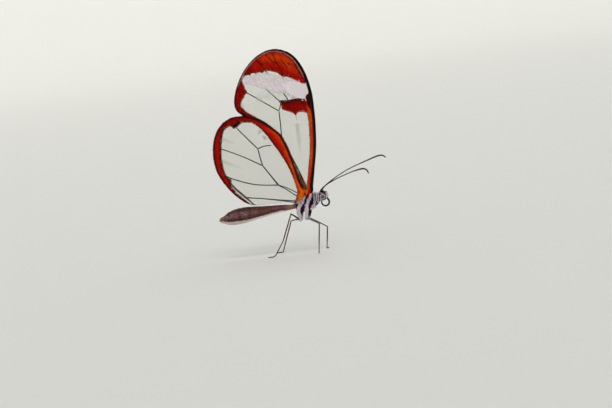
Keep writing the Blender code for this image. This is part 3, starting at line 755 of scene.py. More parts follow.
def wing_colours(f):
    """(colour, cover, raggedness) of a wing: cover is 0 on clear film and 1 where scales lie densely."""
    place = f.place()
    red, edge, rim = f.value("red"), f.value("edge"), f.value("rim")
    ragged = f.noise(f.stretch(place, (0.35, 1, 0.5), (0, 0.6, 0)), 0.5, 3) - 0.5
    streaks = f.noise(f.stretch(place, (0.22, 1, 1.5), (0, -0.62, 0)), 1.0, 3, 0.6) - 0.5
    grain = f.noise(place, 0.12, 1) - 0.5
    blotch = f.noise(f.stretch(place, (0.5, 1, 1), (0, -0.5, 0)), 0.8, 4, 0.62) - 0.5
    is_red = (red + ragged * 0.42).between(-0.05, 0.07)
    white = (f.value("white") + ragged * 0.55 + streaks * 0.45 - 0.10).between(0.0, 0.95) * 0.97
    brown = (f.value("brown") + ragged * 0.4).between(0.1, 0.7)
    rimmed = (rim - edge + ragged * 0.05).between(-0.03, 0.04)
    crest = f.value("crest")
    inner = edge - rim
    hemmed = (0.20 - inner).between(-0.06, 0.08) * is_red * (1 - crest)
    pink = (inner - 0.02).between(-0.02, 0.03) * (0.15 - inner).between(-0.02, 0.03) * crest
    second = (inner - 0.13).between(-0.02, 0.03) * (0.33 - inner).between(-0.05, 0.10) * crest
    lined = (f.value("lining") - red).between(-0.05, 0.05) * is_red
    dark = (f.value("dark") + ragged * 0.5 + streaks * 0.3 + blotch * 0.8).between(0.3, 0.95)
    warm = f.value("warm") + streaks * 0.75 + blotch * 0.55 + grain * 0.30
    hue = f.ramp(warm, (0.08, DEEP_RED), (0.42, BRIGHT_RED), (0.72, ORANGE_RED), (1.0, ORANGE))
    colour = f.blend(white.between(0.02, 0.3), FILM_TINT, MILK)
    # Stains on the hindwing and painted shade on the forewing turn the colour towards brown.
    colour = f.blend(f.value("veil") * 0.6, colour, STAIN_AND_SHADE_BROWN)
    colour = f.blend(is_red, colour, hue)
    colour = f.blend(brown, colour, BROWN)
    colour = f.blend(dark * is_red.greater(0.8), colour, MAROON)
    colour = f.blend(hemmed * 0.85, colour, PLUM)
    colour = f.blend((lined * 0.93).greater(second * 0.8), colour, EDGE_BLACK)
    colour = f.blend(rimmed, colour, EDGE_BLACK)
    colour = f.blend(pink * 0.9, colour, PINK_LINE)
    cover = is_red.greater(rimmed).greater(white).greater(dark * 0.85).greater(brown * 0.95)
    return colour, cover, ragged


def film_finish():
    """Clear film: alpha is its own faint tint, more under stains and painted shade, and 1 under scales."""
    f = Finish("wing_film")
    colour, cover, ragged = wing_colours(f)
    veil = f.value("veil") * 0.14
    alpha = (cover + veil + CLEAR_ALPHA + ragged * 0.03).less(1.0)
    made = f.surface(Base_Color=colour, Roughness=0.30 + cover * 0.3, Alpha=alpha,
                     Specular_IOR_Level=0.15, Normal=f.bump(f.noise(f.place(), 0.9, 2), 0.10, 0.5))
    made.use_transparent_shadow = True
    return made


def scale_finish():
    """Wing scales: the same colours, opaque and matt, with fine ribs."""
    f = Finish("wing_scales")
    colour, _, _ = wing_colours(f)
    ribs = f.noise(f.stretch(f.place(), (0.03, 1, 0.3)), 1.0, 1)
    return f.surface(Base_Color=colour, Roughness=0.6, Specular_IOR_Level=0.03,
                     Normal=f.bump(ribs, 0.004, 0.4))


film, scales = film_finish(), scale_finish()
print("finishes:", film.name, scales.name)

# %% [markdown]
# ## The wing films
# A wing could be a plane cut to shape with a Solidify modifier, but a grid that follows the outline
# gives a clean edge and carries the distances well. Each ring of the grid is the outline drawn in
# towards one inner point, first over the outer face, then back over the inner one.

# %% Wing films
FILM_HALF = 0.022  # half the film's thickness
AROUND, RINGS = 440, 46
SIDES = (("right", -1), ("left", 1))
WINGS = (
    # name, outline, inner point, how far it stands to the side, markings
    ("forewing", fore_edge, (1.0, 27.2), fore_side, fore_marks),
    ("hindwing", hind_edge, (-6.4, 17.6), hind_side, hind_marks),
)


def film_shape(edge, middle, side_of, marks, side):
    """Ring r of the grid is middle + share(r) (outline - middle), with share growing from 0 to 1
    and back, and it stands at the wing's side plus or minus half the film's thickness."""
    loop = even_line(edge, AROUND, closed=True)
    share = 1 - (1 - np.linspace(0, 1, RINGS + 1)[1:]) ** 1.2
    share = np.concatenate([share, share[-2::-1]])
    face = np.concatenate([np.ones(RINGS - 1), [0], -np.ones(RINGS - 1)])
    flat = np.array(middle) + share[:, None, None] * (loop - middle)
    rings = in_wing(flat, side_of, side, FILM_HALF * face[:, None])
    ends = [in_wing(np.array([middle]), side_of, side, k * FILM_HALF)[0] for k in (1, -1)]
    points, faces = closed_over(rings, ends)
    return points, faces, marks(np.vstack([flat.reshape(-1, 2), [middle, middle]])), None


for word, side in SIDES:
    for wing, edge, middle, side_of, marks in WINGS:
        shape = film_shape(edge, middle, side_of, marks, side)
        add_piece(f"{wing}_film_{word}", shape, film, [f"{wing}_{word}"])

# %% [markdown]
# ## Veins
# The veins are rods that stand out on both faces of the film, thick at the root and fine at the
# margin, and a thicker one beads the leading edge. Drawn as rods they stay crisp at any distance,
# which a painted line would not.

# %% Veins
VEIN_RADIUS, VEIN_FINE, VEIN_REACH = 0.125, 0.085, 26  # radii at the root and that far from it
VEIN_STEP, VEIN_SIDES = 0.20, 8


def vein_finish():
    """Dark olive-brown horn with a soft shine, which takes the scales' colour where they cover it."""
    f = Finish("vein_horn")
    grain = f.noise(f.place(), 0.25, 2)
    horn = f.blend(grain.between(0.3, 0.7), (0.010, 0.009, 0.003), (0.026, 0.022, 0.007))
    scaled, cover, _ = wing_colours(f)
    colour = f.blend(cover.between(0.3, 0.9) * 0.92, horn, f.blend(0.18, scaled, EDGE_BLACK))
    milky = f.value("white").between(0.1, 0.4) * (f.value("edge") - f.value("rim")).between(0.0, 0.05)
    colour = f.blend(milky, colour, MILK)
    return f.surface(Base_Color=colour, Roughness=0.5, Specular_IOR_Level=0.08,
                     Normal=f.bump(grain, 0.01, 0.5))


def wing_rods(veins, edge, rim, side_of, marks, side):
    """Rods along the veins, finer away from the root, and a bead along part of the edge, whose
    radius runs from the rim's first number to its second. Each stands where the film does."""
    made, flats = [], []
    for line, ends in [*((smooth_line(vein, 10), None) for vein in veins), (edge, rim)]:
        line = even_line(line, max(8, int(run_of(line)[-1] / VEIN_STEP)))
        if ends is None:
            share = climb(np.linalg.norm(line - WING_ROOT, axis=1), 0, VEIN_REACH)
            ends = (VEIN_RADIUS, VEIN_FINE)
        else:
            share = run_of(line) / run_of(line)[-1]
        radii = ends[0] + (ends[1] - ends[0]) * share
        made.append(rod(in_wing(line, side_of, side), radii, VEIN_SIDES, (0, 1, 0), 0.8))
        flats.append(np.vstack([np.repeat(line, VEIN_SIDES, axis=0), line[[0, -1]]]))
    points, faces = gather(made)
    return points, faces, marks(np.vstack(flats)), None


VEINS_OF = {
    # veins, the stretch of the edge that has a bead, the bead's radii
    "forewing": (FORE_VEINS, fore_edge[STEPS + 4 : 12 * STEPS], (0.15, 0.05)),
    "hindwing": (HIND_VEINS, hind_edge[2 * STEPS : 20 * STEPS], (0.06, 0.045)),
}
vein_horn = vein_finish()
for word, side in SIDES:
    for wing, _, _, side_of, marks in WINGS:
        shape = wing_rods(*VEINS_OF[wing], side_of, marks, side)
        add_piece(f"{wing}_veins_{word}", shape, vein_horn)

# %% [markdown]
# ## Wing scales
# Scales cover only the coloured parts. They stand in a loose lattice, point away from the root and
# overlap their neighbours. Each one takes its distances at its root, moved by a small random step,
# so whole scales change colour at a border and the bands end as raggedly as real ones.

# %% Wing scales
SCALE_GAP, SCALE_LENGTH, SCALE_WIDTH = 0.115, 0.21, 0.115
BACK_GAP = 1.35  # how much further apart they stand on the inner face
SCALES_FROM = {"forewing": (2.2, 10.0), "hindwing": (1.0, 9.0)}  # the point that they point away from
SHEET_SCALE = 1 / 32  # millimetres to shares of the bake map
draw = np.random.default_rng(7)


def wing_coat(edge, root, side_of, marks, side):
    """Scales over both faces of a wing wherever its markings are opaque."""
    low, high = edge.min(0), edge.max(0)
    shapes = []
    for face, gap in ((1, SCALE_GAP), (-1, SCALE_GAP * BACK_GAP)):
        spots = lattice(low, high, gap, draw)
        spots = spots[inside(spots, edge)]
        found = marks(spots)
        found["red"] = found["red"] + draw.normal(0, 0.055, len(spots))
        cover = np.maximum.reduce([found["red"] > 0.0, found["rim"] > found["edge"],
                                   found["white"] + draw.normal(0, 0.10, len(spots)) > 1.15])
        cover &= found["edge"] > 0.03
        spots, found = spots[cover], {key: value[cover] for key, value in found.items()}
        step = 0.02
        slope = [(side_of(spots + d) - side_of(spots - d)) / (2 * step) for d in ((step, 0), (0, step))]
        roots = in_wing(spots, side_of, side, face * FILM_HALF)
        normals = face * np.stack([-slope[0], np.full(len(spots), float(side)), -slope[1]], 1)
        ahead = spots - root
        lie = np.stack([ahead[:, 0], np.zeros(len(spots)), ahead[:, 1]], 1)
        lie = unit(lie) + draw.normal(0, 0.13, lie.shape)
        size = draw.uniform(0.8, 1.2, len(spots))
        flat = (spots - low) * SHEET_SCALE * (0.94, 1) + (0.01 + (face < 0) * 0.5, 0.01)
        shapes.append(strew(SHINGLE, roots, normals, lie, SCALE_LENGTH * size, SCALE_WIDTH * size, 0.016,
                            draw.uniform(0.03, 0.16, len(spots)), flat, found))
    return gather_coats(shapes)


for word, side in SIDES:
    for wing, edge, _, side_of, marks in WINGS:
        shape = wing_coat(edge, SCALES_FROM[wing], side_of, marks, side)
        add_piece(f"{wing}_scales_{word}", shape, scales, smooth=False)

# %% [markdown]
# ## The body's skin
# Head, collar, thorax and abdomen are one skin, so no seam shows between them. It is a row of rings
# across the body, each an ellipse read from one smooth table, and it lies inside the solids by the
# depth of the coat.

# %% Body skin
COAT_DEPTH = 0.10
BODY = np.array([
    # x, top, underside, half width of the coat's surface
    (-16.20, 7.88, 7.55, 0.18), (-15.90, 8.12, 7.32, 0.40), (-15.10, 8.64, 6.88, 0.78),
    (-14.00, 9.30, 6.58, 1.13), (-12.20, 9.73, 6.60, 1.30), (-10.00, 9.82, 6.94, 1.21),
    (-7.80, 9.69, 7.38, 1.00), (-5.50, 9.60, 7.82, 0.78), (-3.20, 9.52, 8.20, 0.56),
    (-1.60, 9.42, 8.42, 0.44), (-1.10, 9.62, 8.56, 0.46), (-0.80, 10.02, 8.56, 0.58),
    (-0.45, 10.52, 8.24, 0.90), (0.20, 11.05, 7.98, 1.18), (0.90, 11.28, 7.86, 1.30),
    (1.50, 11.31, 8.00, 1.28), (2.00, 11.16, 8.44, 1.08), (2.38, 10.94, 8.86, 0.82),
    (2.66, 11.00, 9.06, 0.68), (2.95, 11.14, 8.98, 0.72), (3.20, 11.24, 8.86, 0.80),
    (3.42, 11.20, 9.00, 0.74), (3.68, 11.14, 9.30, 0.62), (3.95, 11.18, 9.52, 0.66),
    (4.25, 11.28, 9.50, 0.74), (4.60, 11.26, 9.52, 0.72), (4.86, 11.06, 9.64, 0.58),
    (5.02, 10.78, 9.86, 0.36), (5.08, 10.46, 10.14, 0.16),
])
curves = [smooth_line(BODY[:, [0, k]], 10) for k in (1, 2, 3)]
body_x = curves[0][:, 0]
body_table = np.stack([body_x, *(read_table(curve, body_x)[0] for curve in curves)], 1)
SEGMENTS, GROOVE = 7, 0.05
ABDOMEN_FROM, ABDOMEN_TO = -1.45, -15.9


def from_joint(x):
    """How many of the abdomen's segments lie before x, and how far x is from the nearest joint."""
    share = climb(x, ABDOMEN_FROM, ABDOMEN_TO) * SEGMENTS
    return share, np.abs(share - np.round(share))


def body_at(x, a, inset=COAT_DEPTH):
    """The skin's point at x and turn a: half width times sin a to the side, and half height times
    cos a above the middle, less the coat's depth. A shallow groove parts the abdomen's segments."""
    top, under, half = read_table(body_table, x)
    share, away = from_joint(x)
    groove = GROOVE * np.clip(1 - 7 * away, 0, 1) * (share > 0) * (share < SEGMENTS)
    inset = inset + groove * np.clip(half, 0, 1)
    tall = np.maximum((top - under) / 2 - inset, 0.02)
    wide = np.maximum(half - inset, 0.02)
    y, z = wide * np.sin(a), (top + under) / 2 + tall * np.cos(a)
    return np.stack(np.broadcast_arrays(x, y, z), -1)


def body_normal(x, a):
    """The direction out of the skin: the cross product of its slopes along a and along x."""
    step = 0.01
    along = body_at(x + step, a) - body_at(x - step, a)
    round_it = body_at(x, a + step) - body_at(x, a - step)
    return unit(np.cross(along, round_it))


print("body table:", len(body_table), "rows, from", body_table[0, 0], "to", round(body_table[-1, 0], 2))

# %% [markdown]
# ## Markings of the body
# Head and thorax are barred: pale lilac streaks on a dark purple ground, leaning back as they go
# down. The abdomen is dark maroon above, with a pale underside and a pinkish tip. As on the wings,
# each streak is a soft stroke in side view, read by skin and scales alike.

# %% Body markings
STREAKS = [
    # points from top to foot, half width, paleness (below zero darkens)
    ([(2.82, 11.1), (2.86, 10.6), (2.79, 10.3), (2.64, 10.0), (2.50, 9.6), (2.20, 9.1), (1.95, 8.3)],
     0.25, -2.2),
    ([(3.22, 11.2), (3.14, 10.6), (3.09, 9.96), (2.92, 9.5)], 0.13, 2.0),
    ([(2.80, 9.5), (2.74, 9.2), (2.66, 8.9)], 0.10, -2.0),
    ([(3.38, 11.1), (3.34, 10.6), (3.30, 10.1), (3.16, 9.7)], 0.10, -1.8),
    ([(3.60, 11.2), (3.51, 10.6), (3.40, 10.0), (3.18, 9.55), (2.98, 9.1)], 0.13, 2.2),
    ([(3.78, 11.1), (3.73, 10.5), (3.62, 10.0), (3.44, 9.6)], 0.09, -1.5),
    ([(3.96, 11.0), (3.92, 10.5), (3.80, 9.95), (3.60, 9.5)], 0.11, 2.0),
    ([(4.14, 10.9), (4.09, 10.4), (4.06, 10.0)], 0.09, -2.0),
    ([(4.36, 10.7), (4.30, 10.2), (4.24, 9.85)], 0.11, 2.0),
    ([(4.40, 9.62), (4.80, 9.60), (5.05, 9.75)], 0.13, 1.8),
    ([(3.64, 11.3), (4.04, 11.4), (4.46, 11.4)], 0.16, -2.2),
    ([(4.17, 11.05), (4.50, 11.03)], 0.10, 0.25),
    ([(4.71, 11.4), (4.86, 11.2)], 0.12, 2.0),
    ([(5.02, 11.1), (5.10, 10.6), (5.08, 10.1)], 0.12, -1.7),
    ([(2.50, 11.2), (2.22, 10.4), (1.92, 10.0), (1.64, 9.4), (1.46, 8.6), (1.32, 7.6)], 0.29, 1.6),
    ([(1.80, 10.7), (1.52, 9.8), (1.12, 9.2), (0.88, 8.6), (0.76, 7.9)], 0.18, -1.8),
    ([(1.35, 10.8), (1.08, 10.0), (0.64, 9.5), (0.34, 8.9), (0.06, 8.0)], 0.24, 1.6),
    ([(0.76, 9.7), (0.48, 8.9), (0.30, 8.0)], 0.09, -1.4),
    ([(0.34, 9.8), (0.02, 9.2), (-0.20, 8.2)], 0.20, 1.3),
    ([(-0.40, 9.4), (-0.50, 8.2)], 0.10, -0.8),
]
BELLY_LINE = [
    # x and z of the line over the pale belly
    (-16.2, 7.75), (-15.1, 7.54), (-13.8, 7.40), (-12.1, 7.42), (-10.3, 7.48), (-8.25, 7.80),
    (-6.0, 8.20), (-3.75, 8.56), (-2.0, 8.64), (-1.0, 8.65),
]
RUST, TAN = (0.14, 0.034, 0.020), (0.50, 0.25, 0.18)


def body_marks(points):
    """At each (x, y, z): paleness, from the streaks on head and thorax and from the height over the
    belly line on the abdomen, warmth, which is rust up to a half and tan beyond it, and how far
    the point belongs to the abdomen."""
    x, _, z = points.T
    pale = 0.26 + sum(stroke(points[:, [0, 2]], *streak) for streak in STREAKS)
    back = climb(z, 10.75, 11.05) * climb(x, 2.6, 2.2)
    pale = pale * (1 - back) + 0.10 * back
    top, shore = read_table(body_table, x)[0], read_table(BELLY_LINE, x)[0]
    rise = (z - shore) / np.maximum(top - shore, 0.2)
    belly, tip, base = climb(shore - z, 0, 0.10), climb(x, -14.7, -15.8), climb(x, -3.3, -1.7)
    hind = climb(x, -0.95, -1.2)
    joint = climb(from_joint(x)[1], 0.2, 0) * (rise > 0)
    flank = 0.06 + 0.38 * np.exp(-(((rise - 0.46) / 0.26) ** 2)) - 0.16 * joint
    tail = flank * (1 - belly) + 1.25 * belly + 0.62 * tip
    rust = 0.5 * climb(x, -10.5, -7.5) * (1 - belly)
    rear = climb(x, -0.30, -0.60) * climb(z, 10.2, 9.8)
    warm = np.maximum.reduce([rust, 0.5 + 0.4 * base, 0.5 + 0.25 * tip])
    warm = np.maximum(hind * warm * (1 - 0.9 * belly * (x < -3.2)), rear * (0.5 + 0.35 * base))
    warm = np.where(warm > 0.5001, warm, np.minimum(warm, rust))
    cool = belly * climb(x, -11.5, -8.5)
    return {"pale": pale * (1 - hind) + tail * hind, "warm": warm, "hind": hind * (1 - 0.7 * cool)}


def coat_colours(f):
    """Dark ground, pale streaks and the abdomen's maroon, with fine streaks of their own."""
    place = f.place()
    fine = f.noise(f.stretch(place, (0.10, 0.14, 0.45), (0, 0.25, 0)), 1.0, 2) - 0.5
    mottle = f.noise(place, 0.35, 3) - 0.5
    hind = f.value("hind")
    level = f.value("pale") + (fine * 0.5 + mottle * 0.4) * (1 - hind * 0.3)
    pale = (level - hind * 0.30).between(0.28 - hind * 0.08, 0.62 + hind * 0.13)
    tail = f.ramp(level, (0.02, (0.034, 0.010, 0.011)), (0.46, (0.27, 0.125, 0.130)))
    front = f.blend(mottle.between(-0.1, 0.2) * 0.4, (0.022, 0.003, 0.012), (0.13, 0.035, 0.10))
    ground = f.blend(hind, front, tail)
    light = f.blend(hind, (0.97, 0.86, 0.94), (0.72, 0.62, 0.54))
    colour = f.blend(pale, ground, light)
    warm = f.value("warm")
    colour = f.blend((warm * 2.0).less(1.0) * (0.62 + mottle * 1.2), colour, RUST)
    return f.blend((warm - 0.5).greater(0.0) * 1.7, colour, TAN)


def skin_finish():
    """The skin between the scales: the coat's colours, darker, with fine pits where scales root."""
    f = Finish("body_skin")
    colour = coat_colours(f)
    pits = f.noise(f.place(), 0.07, 2)
    return f.surface(Base_Color=f.blend(0.25, colour, (0.02, 0.012, 0.012)), Roughness=0.7,
                     Normal=f.bump(pits, 0.03, 0.7))


def coat_finish():
    """The body's scales, soft with a faint silky edge."""
    f = Finish("body_coat")
    colour = coat_colours(f)
    return f.surface(Base_Color=colour, Roughness=0.65, Specular_IOR_Level=0.2)


skin_look, coat_look = skin_finish(), coat_finish()
SKIN_SIDES = 56
skin_x = np.concatenate([np.linspace(-16.19, -1.4, 170), np.linspace(-1.35, 5.075, 130)])
turns = np.linspace(0, math.tau, SKIN_SIDES, endpoint=False)
points, faces = closed_over(body_at(skin_x[:, None], turns[None, :]))
add_piece("body_skin", (points, faces, body_marks(points), None), skin_look,
          ["head", "collar", "thorax", "abdomen"])

# %% [markdown]
# ## The body's coat
# Thorax, collar and head wear long narrow scales that lie back and down along the streaks, finer
# towards the head, while the abdomen wears short flat ones in rows. Their roots are drawn on a
# lattice over the skin's unwrap, length along the body against turn round it, and thinned where the
# body is slim. A tuft ends the abdomen, and another stands up between the antennae.

# %% Body coat
def coat_roots(x_from, x_to, gap, widest):
    """Roots (x, turn) over the skin: a lattice as wide as the widest ring, kept with a chance of
    this ring's girth over the widest girth."""
    spots = lattice((x_from, 0), (x_to, math.tau * widest), gap, draw)
    x, a = spots[:, 0], (spots[:, 1] / widest) % math.tau
    top, under, half = read_table(body_table, x)
    girth = ((top - under) / 2 + half) / 2
    keep = (draw.uniform(size=len(x)) < girth / widest) & (x > x_from) & (x < x_to)
    return x[keep], a[keep]


def body_lie(x, a):
    """The lie of the coat: back along the abdomen and the back, down and back on the sides, and
    forwards and down on the face."""
    side = np.abs(np.sin(a))
    thorax_way = np.stack([-0.55 + 0 * x, 0 * x, -0.9 * side], 1)
    tail_way = np.stack([-1 + 0 * x, 0 * x, -0.08 * side], 1)
    face_way = np.stack([0.35 + 0 * x, 0 * x, -0.9 + 0 * x], 1)
    hind, face = climb(x, -0.8, -1.2)[:, None], climb(x, 4.2, 4.5)[:, None]
    return thorax_way * (1 - hind) * (1 - face) + tail_way * hind + face_way * face


def skin_map(x, a):
    """Places on the bake map: the skin's unwrap, length along the body against turn round it."""
    return np.stack([(x + 16.5) / 22, a / math.tau], 1) * 0.98 + 0.01


def body_coat(plain, x_from, x_to, gap, widest, length, width, height, lift, arch):
    """Scales over one stretch of the body."""
    x, a = coat_roots(x_from, x_to, gap, widest)
    roots, normals = body_at(x, a, COAT_DEPTH + 0.01), body_normal(x, a)
    lie = body_lie(x, a) + draw.normal(0, 0.14, roots.shape)
    size = draw.uniform(0.75, 1.25, len(x))
    tilt = draw.uniform(*lift, len(x))
    found = body_marks(roots)
    found["pale"] = found["pale"] + draw.normal(0, 0.15, len(x)) * found["hind"]
    return strew(plain, roots, normals, lie, length * size, width * size, height, tilt,
                 skin_map(x, a), found, arch)


def tuft(x, a, depth, way, loose, length, width, lift):
    """Locks that lie loosely one way, with lengths and lifts drawn between two numbers each."""
    roots = body_at(x, a, depth)
    lie = draw.normal(0, loose, roots.shape) + way
    length, lift = draw.uniform(*length, len(x)), draw.uniform(*lift, len(x))
    return strew(LOCK, roots, body_normal(x, a), lie, length, width, 0.035, lift,
                 skin_map(x, a % math.tau), body_marks(roots), 0.1)


COATS = (
    # name, slot, plain scale, x from and to, gap, widest ring, length, width, height, lift, arch
    ("abdomen_scales", "abdomen", SHINGLE, -16.1, -0.95, 0.125, 1.45, 0.26, 0.15, 0.03, (0.08, 0.34), 0.0),
    ("thorax_hair", "hair", LOCK, -1.0, 2.6, 0.085, 1.55, 0.50, 0.075, 0.04, (0.08, 0.38), 0.10),
    ("collar_hair", "hair", LOCK, 2.55, 3.62, 0.062, 1.0, 0.34, 0.052, 0.03, (0.10, 0.42), 0.10),
    ("head_hair", "hair", LOCK, 3.6, 5.06, 0.060, 0.95, 0.26, 0.050, 0.03, (0.15, 0.60), 0.12),
)
for name, slot, *numbers in COATS:
    add_piece(name, body_coat(*numbers), coat_look, smooth=slot == "hair")
x, a = draw.uniform(-15.95, -15.3, 520), draw.uniform(0, math.tau, 520)
shape = tuft(x, a, COAT_DEPTH + 0.02, (-1, 0, 0), 0.16, (0.25, 0.50), 0.06, (0.0, 0.5))
add_piece("tail_tuft", shape, coat_look)
CROWN_FROM, CROWN_TO, CROWN_SIDE = 4.35, 4.95, 0.42
x, a = draw.uniform(CROWN_FROM, CROWN_TO, 420), draw.uniform(-CROWN_SIDE, CROWN_SIDE, 420)
way = np.stack([0.30 + 0 * x, 0.3 * a, 0.1 + 0 * x], 1)
shape = tuft(x, a, COAT_DEPTH + 0.01, way, 0.15, (0.22, 0.42), 0.055, (0.7, 1.3))
add_piece("crown_tuft", shape, coat_look)

# %% [markdown]
# ## Eyes
# A compound eye is a dome of many small lenses. The lenses are set on a Fibonacci lattice, which
# spreads any number of points evenly over a ball, and each one is a low six-sided cap, so the eye
# catches a sparkle from many sides instead of one smooth highlight.

# %% Eyes
EYE_CENTRE, EYE_HALF = np.array([4.72, 0.64, 10.34]), np.array([0.50, 0.50, 0.59])
LENSES, LENS_RISE = 1500, 0.012


def fibonacci_ball(count):
    """Directions spread evenly over a ball: heights in equal steps, turned by the golden angle."""
    k = np.arange(count) + 0.5
    z = 1 - 2 * k / count
    turn = math.pi * (1 + math.sqrt(5)) * k
    return np.stack([np.sqrt(1 - z**2) * np.cos(turn), np.sqrt(1 - z**2) * np.sin(turn), z], 1)


def eye_shape(side):
    """An ellipsoid core with a cap over every lattice point that looks outwards."""
    way = np.array([1, side, 1])
    tilt = np.linspace(0.04, math.pi - 0.04, 24)[:, None, None]
    a = np.linspace(0, math.tau, 36, endpoint=False)[None, :, None]
    ball = np.concatenate([np.sin(tilt) * np.cos(a), np.sin(tilt) * np.sin(a), np.cos(tilt) + 0 * a], -1)
    core = closed_over((EYE_CENTRE + ball * EYE_HALF) * way)
    out = fibonacci_ball(LENSES)
    out = out[out[:, 1] > -0.15]
    normal = unit(out / EYE_HALF)
    across = unit(np.cross(normal, (0.0, 0.0, 1.0)))
    up = np.cross(normal, across)
    reach = 1.05 * math.sqrt(4 * math.pi / LENSES / 2.6) * EYE_HALF.mean()
    u, v = circle(6).T[:, None, :, None]
    rim = reach * (u * across[:, None] + v * up[:, None]) - 0.6 * LENS_RISE * normal[:, None]
    middle = (EYE_CENTRE + out * EYE_HALF)[:, None]
    points = np.concatenate([middle + LENS_RISE * normal[:, None], middle + rim], 1) * way
    k = np.arange(6)
    fan = np.stack([np.zeros(6, int), 1 + k, 1 + (k + 1) % 6], 1)
    base = np.array([(1, 3, 2), (1, 4, 3), (1, 5, 4), (1, 6, 5)])
    tiles = (np.vstack([fan, base])[None] + (np.arange(len(out)) * 7)[:, None, None]).reshape(-1, 3)
    points, faces = gather([core, (points.reshape(-1, 3), [tiles])])
    core_way = unit((points * way - EYE_CENTRE) / EYE_HALF)
    return points, faces, {"centre": core_way @ unit(np.array([0.24, 1, 0.0]))}, None


def eye_finish():
    """Glossy brown horn, mottled, in a dark ring, a pale one and a dark rim."""
    f = Finish("eye_lenses")
    mottle = f.noise(f.place(), 0.28, 2)
    centre = f.value("centre") + (mottle - 0.5) * 0.16
    colour = f.blend(mottle.between(0.36, 0.62), (0.030, 0.017, 0.012), (0.17, 0.11, 0.075))
    colour = f.blend((0.86 - centre).between(-0.02, 0.05), colour, (0.012, 0.006, 0.008))
    colour = f.blend((0.80 - centre).between(-0.02, 0.06), colour, (0.58, 0.50, 0.56))
    colour = f.blend((0.40 - centre).between(-0.08, 0.08), colour, (0.05, 0.028, 0.036))
    return f.surface(Base_Color=colour, Roughness=0.22, Coat_Weight=0.4, Coat_Roughness=0.1)


eye_look = eye_finish()
for word, side in SIDES:
    add_piece(f"eye_lenses_{word}", eye_shape(side), eye_look, [f"eye_{word}"])

# %% [markdown]
# ## Horn rods
# Antennae, tongue and legs are rods of horn. A rod's radii are read along its line from a short
# list, and scales can be strewn over it, lying towards its tip.

# %% Rods and their coat
def line_of(points, side, gap=0.05):
    """A smooth line through points on the animal's left, or its mirror image, in even steps."""
    line = smooth_line(np.array(points, float) * (1, side, 1))
    return even_line(line, max(6, int(run_of(line)[-1] / gap)))


def radii_on(path, values):
    """Evenly spaced values read along a path, one for each of its points."""
    run = run_of(path)
    return np.interp(run / run[-1], np.linspace(0, 1, len(values)), values)


def rod_roots(path, radii, across, gap, skip=0.0):
    """Roots (point, normal, ahead, share along, turn) over a rod, on a lattice along and round it."""
    run = run_of(path)
    radii = np.broadcast_to(np.asarray(radii, float), len(path))
    widest = radii.max()
    spots = lattice((skip, 0), (run[-1], math.tau * widest), gap, draw)
    s, a = np.clip(spots[:, 0], 0, run[-1]), spots[:, 1] / widest
    radius = np.interp(s, run, radii)
    keep = draw.uniform(size=len(s)) < radius / widest
    s, a, radius = s[keep], a[keep], radius[keep]
    centre, ahead, sideways, third = (
        np.stack([np.interp(s, run, column) for column in way.T], 1)
        for way in (path, *frame_on(path, across))
    )
    normal = np.cos(a)[:, None] * sideways + np.sin(a)[:, None] * third
    return centre + radius[:, None] * normal, normal, ahead, s / run[-1], (a / math.tau) % 1


def strip_map(share, turn, k, count):
    """Places on the bake map: strip k of count, length along it against turn round the rod."""
    return np.stack([share * 0.97 + 0.015, (k + 0.04 + turn * 0.92) / count], 1)


def rod_coat(rods, plain, gap, length, width, height, lift, marks, skip=0.0, arch=0.0):
    """Scales over several rods, each rod with its own strip of the bake map."""
    shapes = []
    for k, (path, radii, across) in enumerate(rods):
        roots, normal, ahead, share, turn = rod_roots(path, radii, across, gap, skip)
        size = draw.uniform(0.75, 1.25, len(roots))
        lie, tilt = ahead + draw.normal(0, 0.12, roots.shape), draw.uniform(*lift, len(roots))
        shapes.append(strew(plain, roots, normal, lie, length * size, width * size, height, tilt,
                            strip_map(share, turn, k, len(rods)), marks(roots, k), arch))
    return gather_coats(shapes)


# %% [markdown]
# ## Antennae
# Each antenna starts with a thick joint on the crown, goes on as a long shaft of short rings and
# ends in a slim club that droops. The rings are cut into the rod's radius: it narrows a little at
# every joint.

# %% Antennae
FEELER_LEFT = [
    (4.24, 0.28, 11.15), (4.42, 0.35, 11.50), (4.72, 0.50, 11.84), (5.25, 0.85, 12.35), (8.75, 2.90, 14.40),
    (12.90, 5.05, 15.85), (15.00, 6.15, 16.40), (15.62, 6.45, 16.28), (16.02, 6.70, 15.85),
]
FEELER_RIGHT = [
    (4.24, 0.28, 11.15), (4.42, 0.35, 11.50), (4.78, 0.52, 11.84), (5.70, 1.10, 12.45), (9.15, 3.00, 13.85),
    (13.20, 5.20, 15.00), (14.60, 6.00, 15.12), (15.20, 6.42, 14.80), (15.52, 6.70, 14.20),
]
FEELER_RADII = (0.19, 0.125, 0.115, 0.11, 0.105, *[0.10] * 5, 0.11, 0.125, 0.145, 0.155, 0.15, 0.12)
FEELER_SIDES = 10
RING_LENGTH, RING_NECK = 0.33, 0.16


def horn_finish(name, dark, light, size=0.3, rough=0.45, shine=0.25):
    """Horn that runs from dark to light in soft clouds."""
    f = Finish(name)
    grain = f.noise(f.place(), size, 2)
    colour = f.blend((grain * 0.7 + f.value("tone") * 0.9 - 0.2).between(0.1, 0.9), dark, light)
    return f.surface(Base_Color=colour, Roughness=rough, Specular_IOR_Level=shine,
                     Normal=f.bump(f.noise(f.place(), 0.05, 1), 0.008, 0.6))


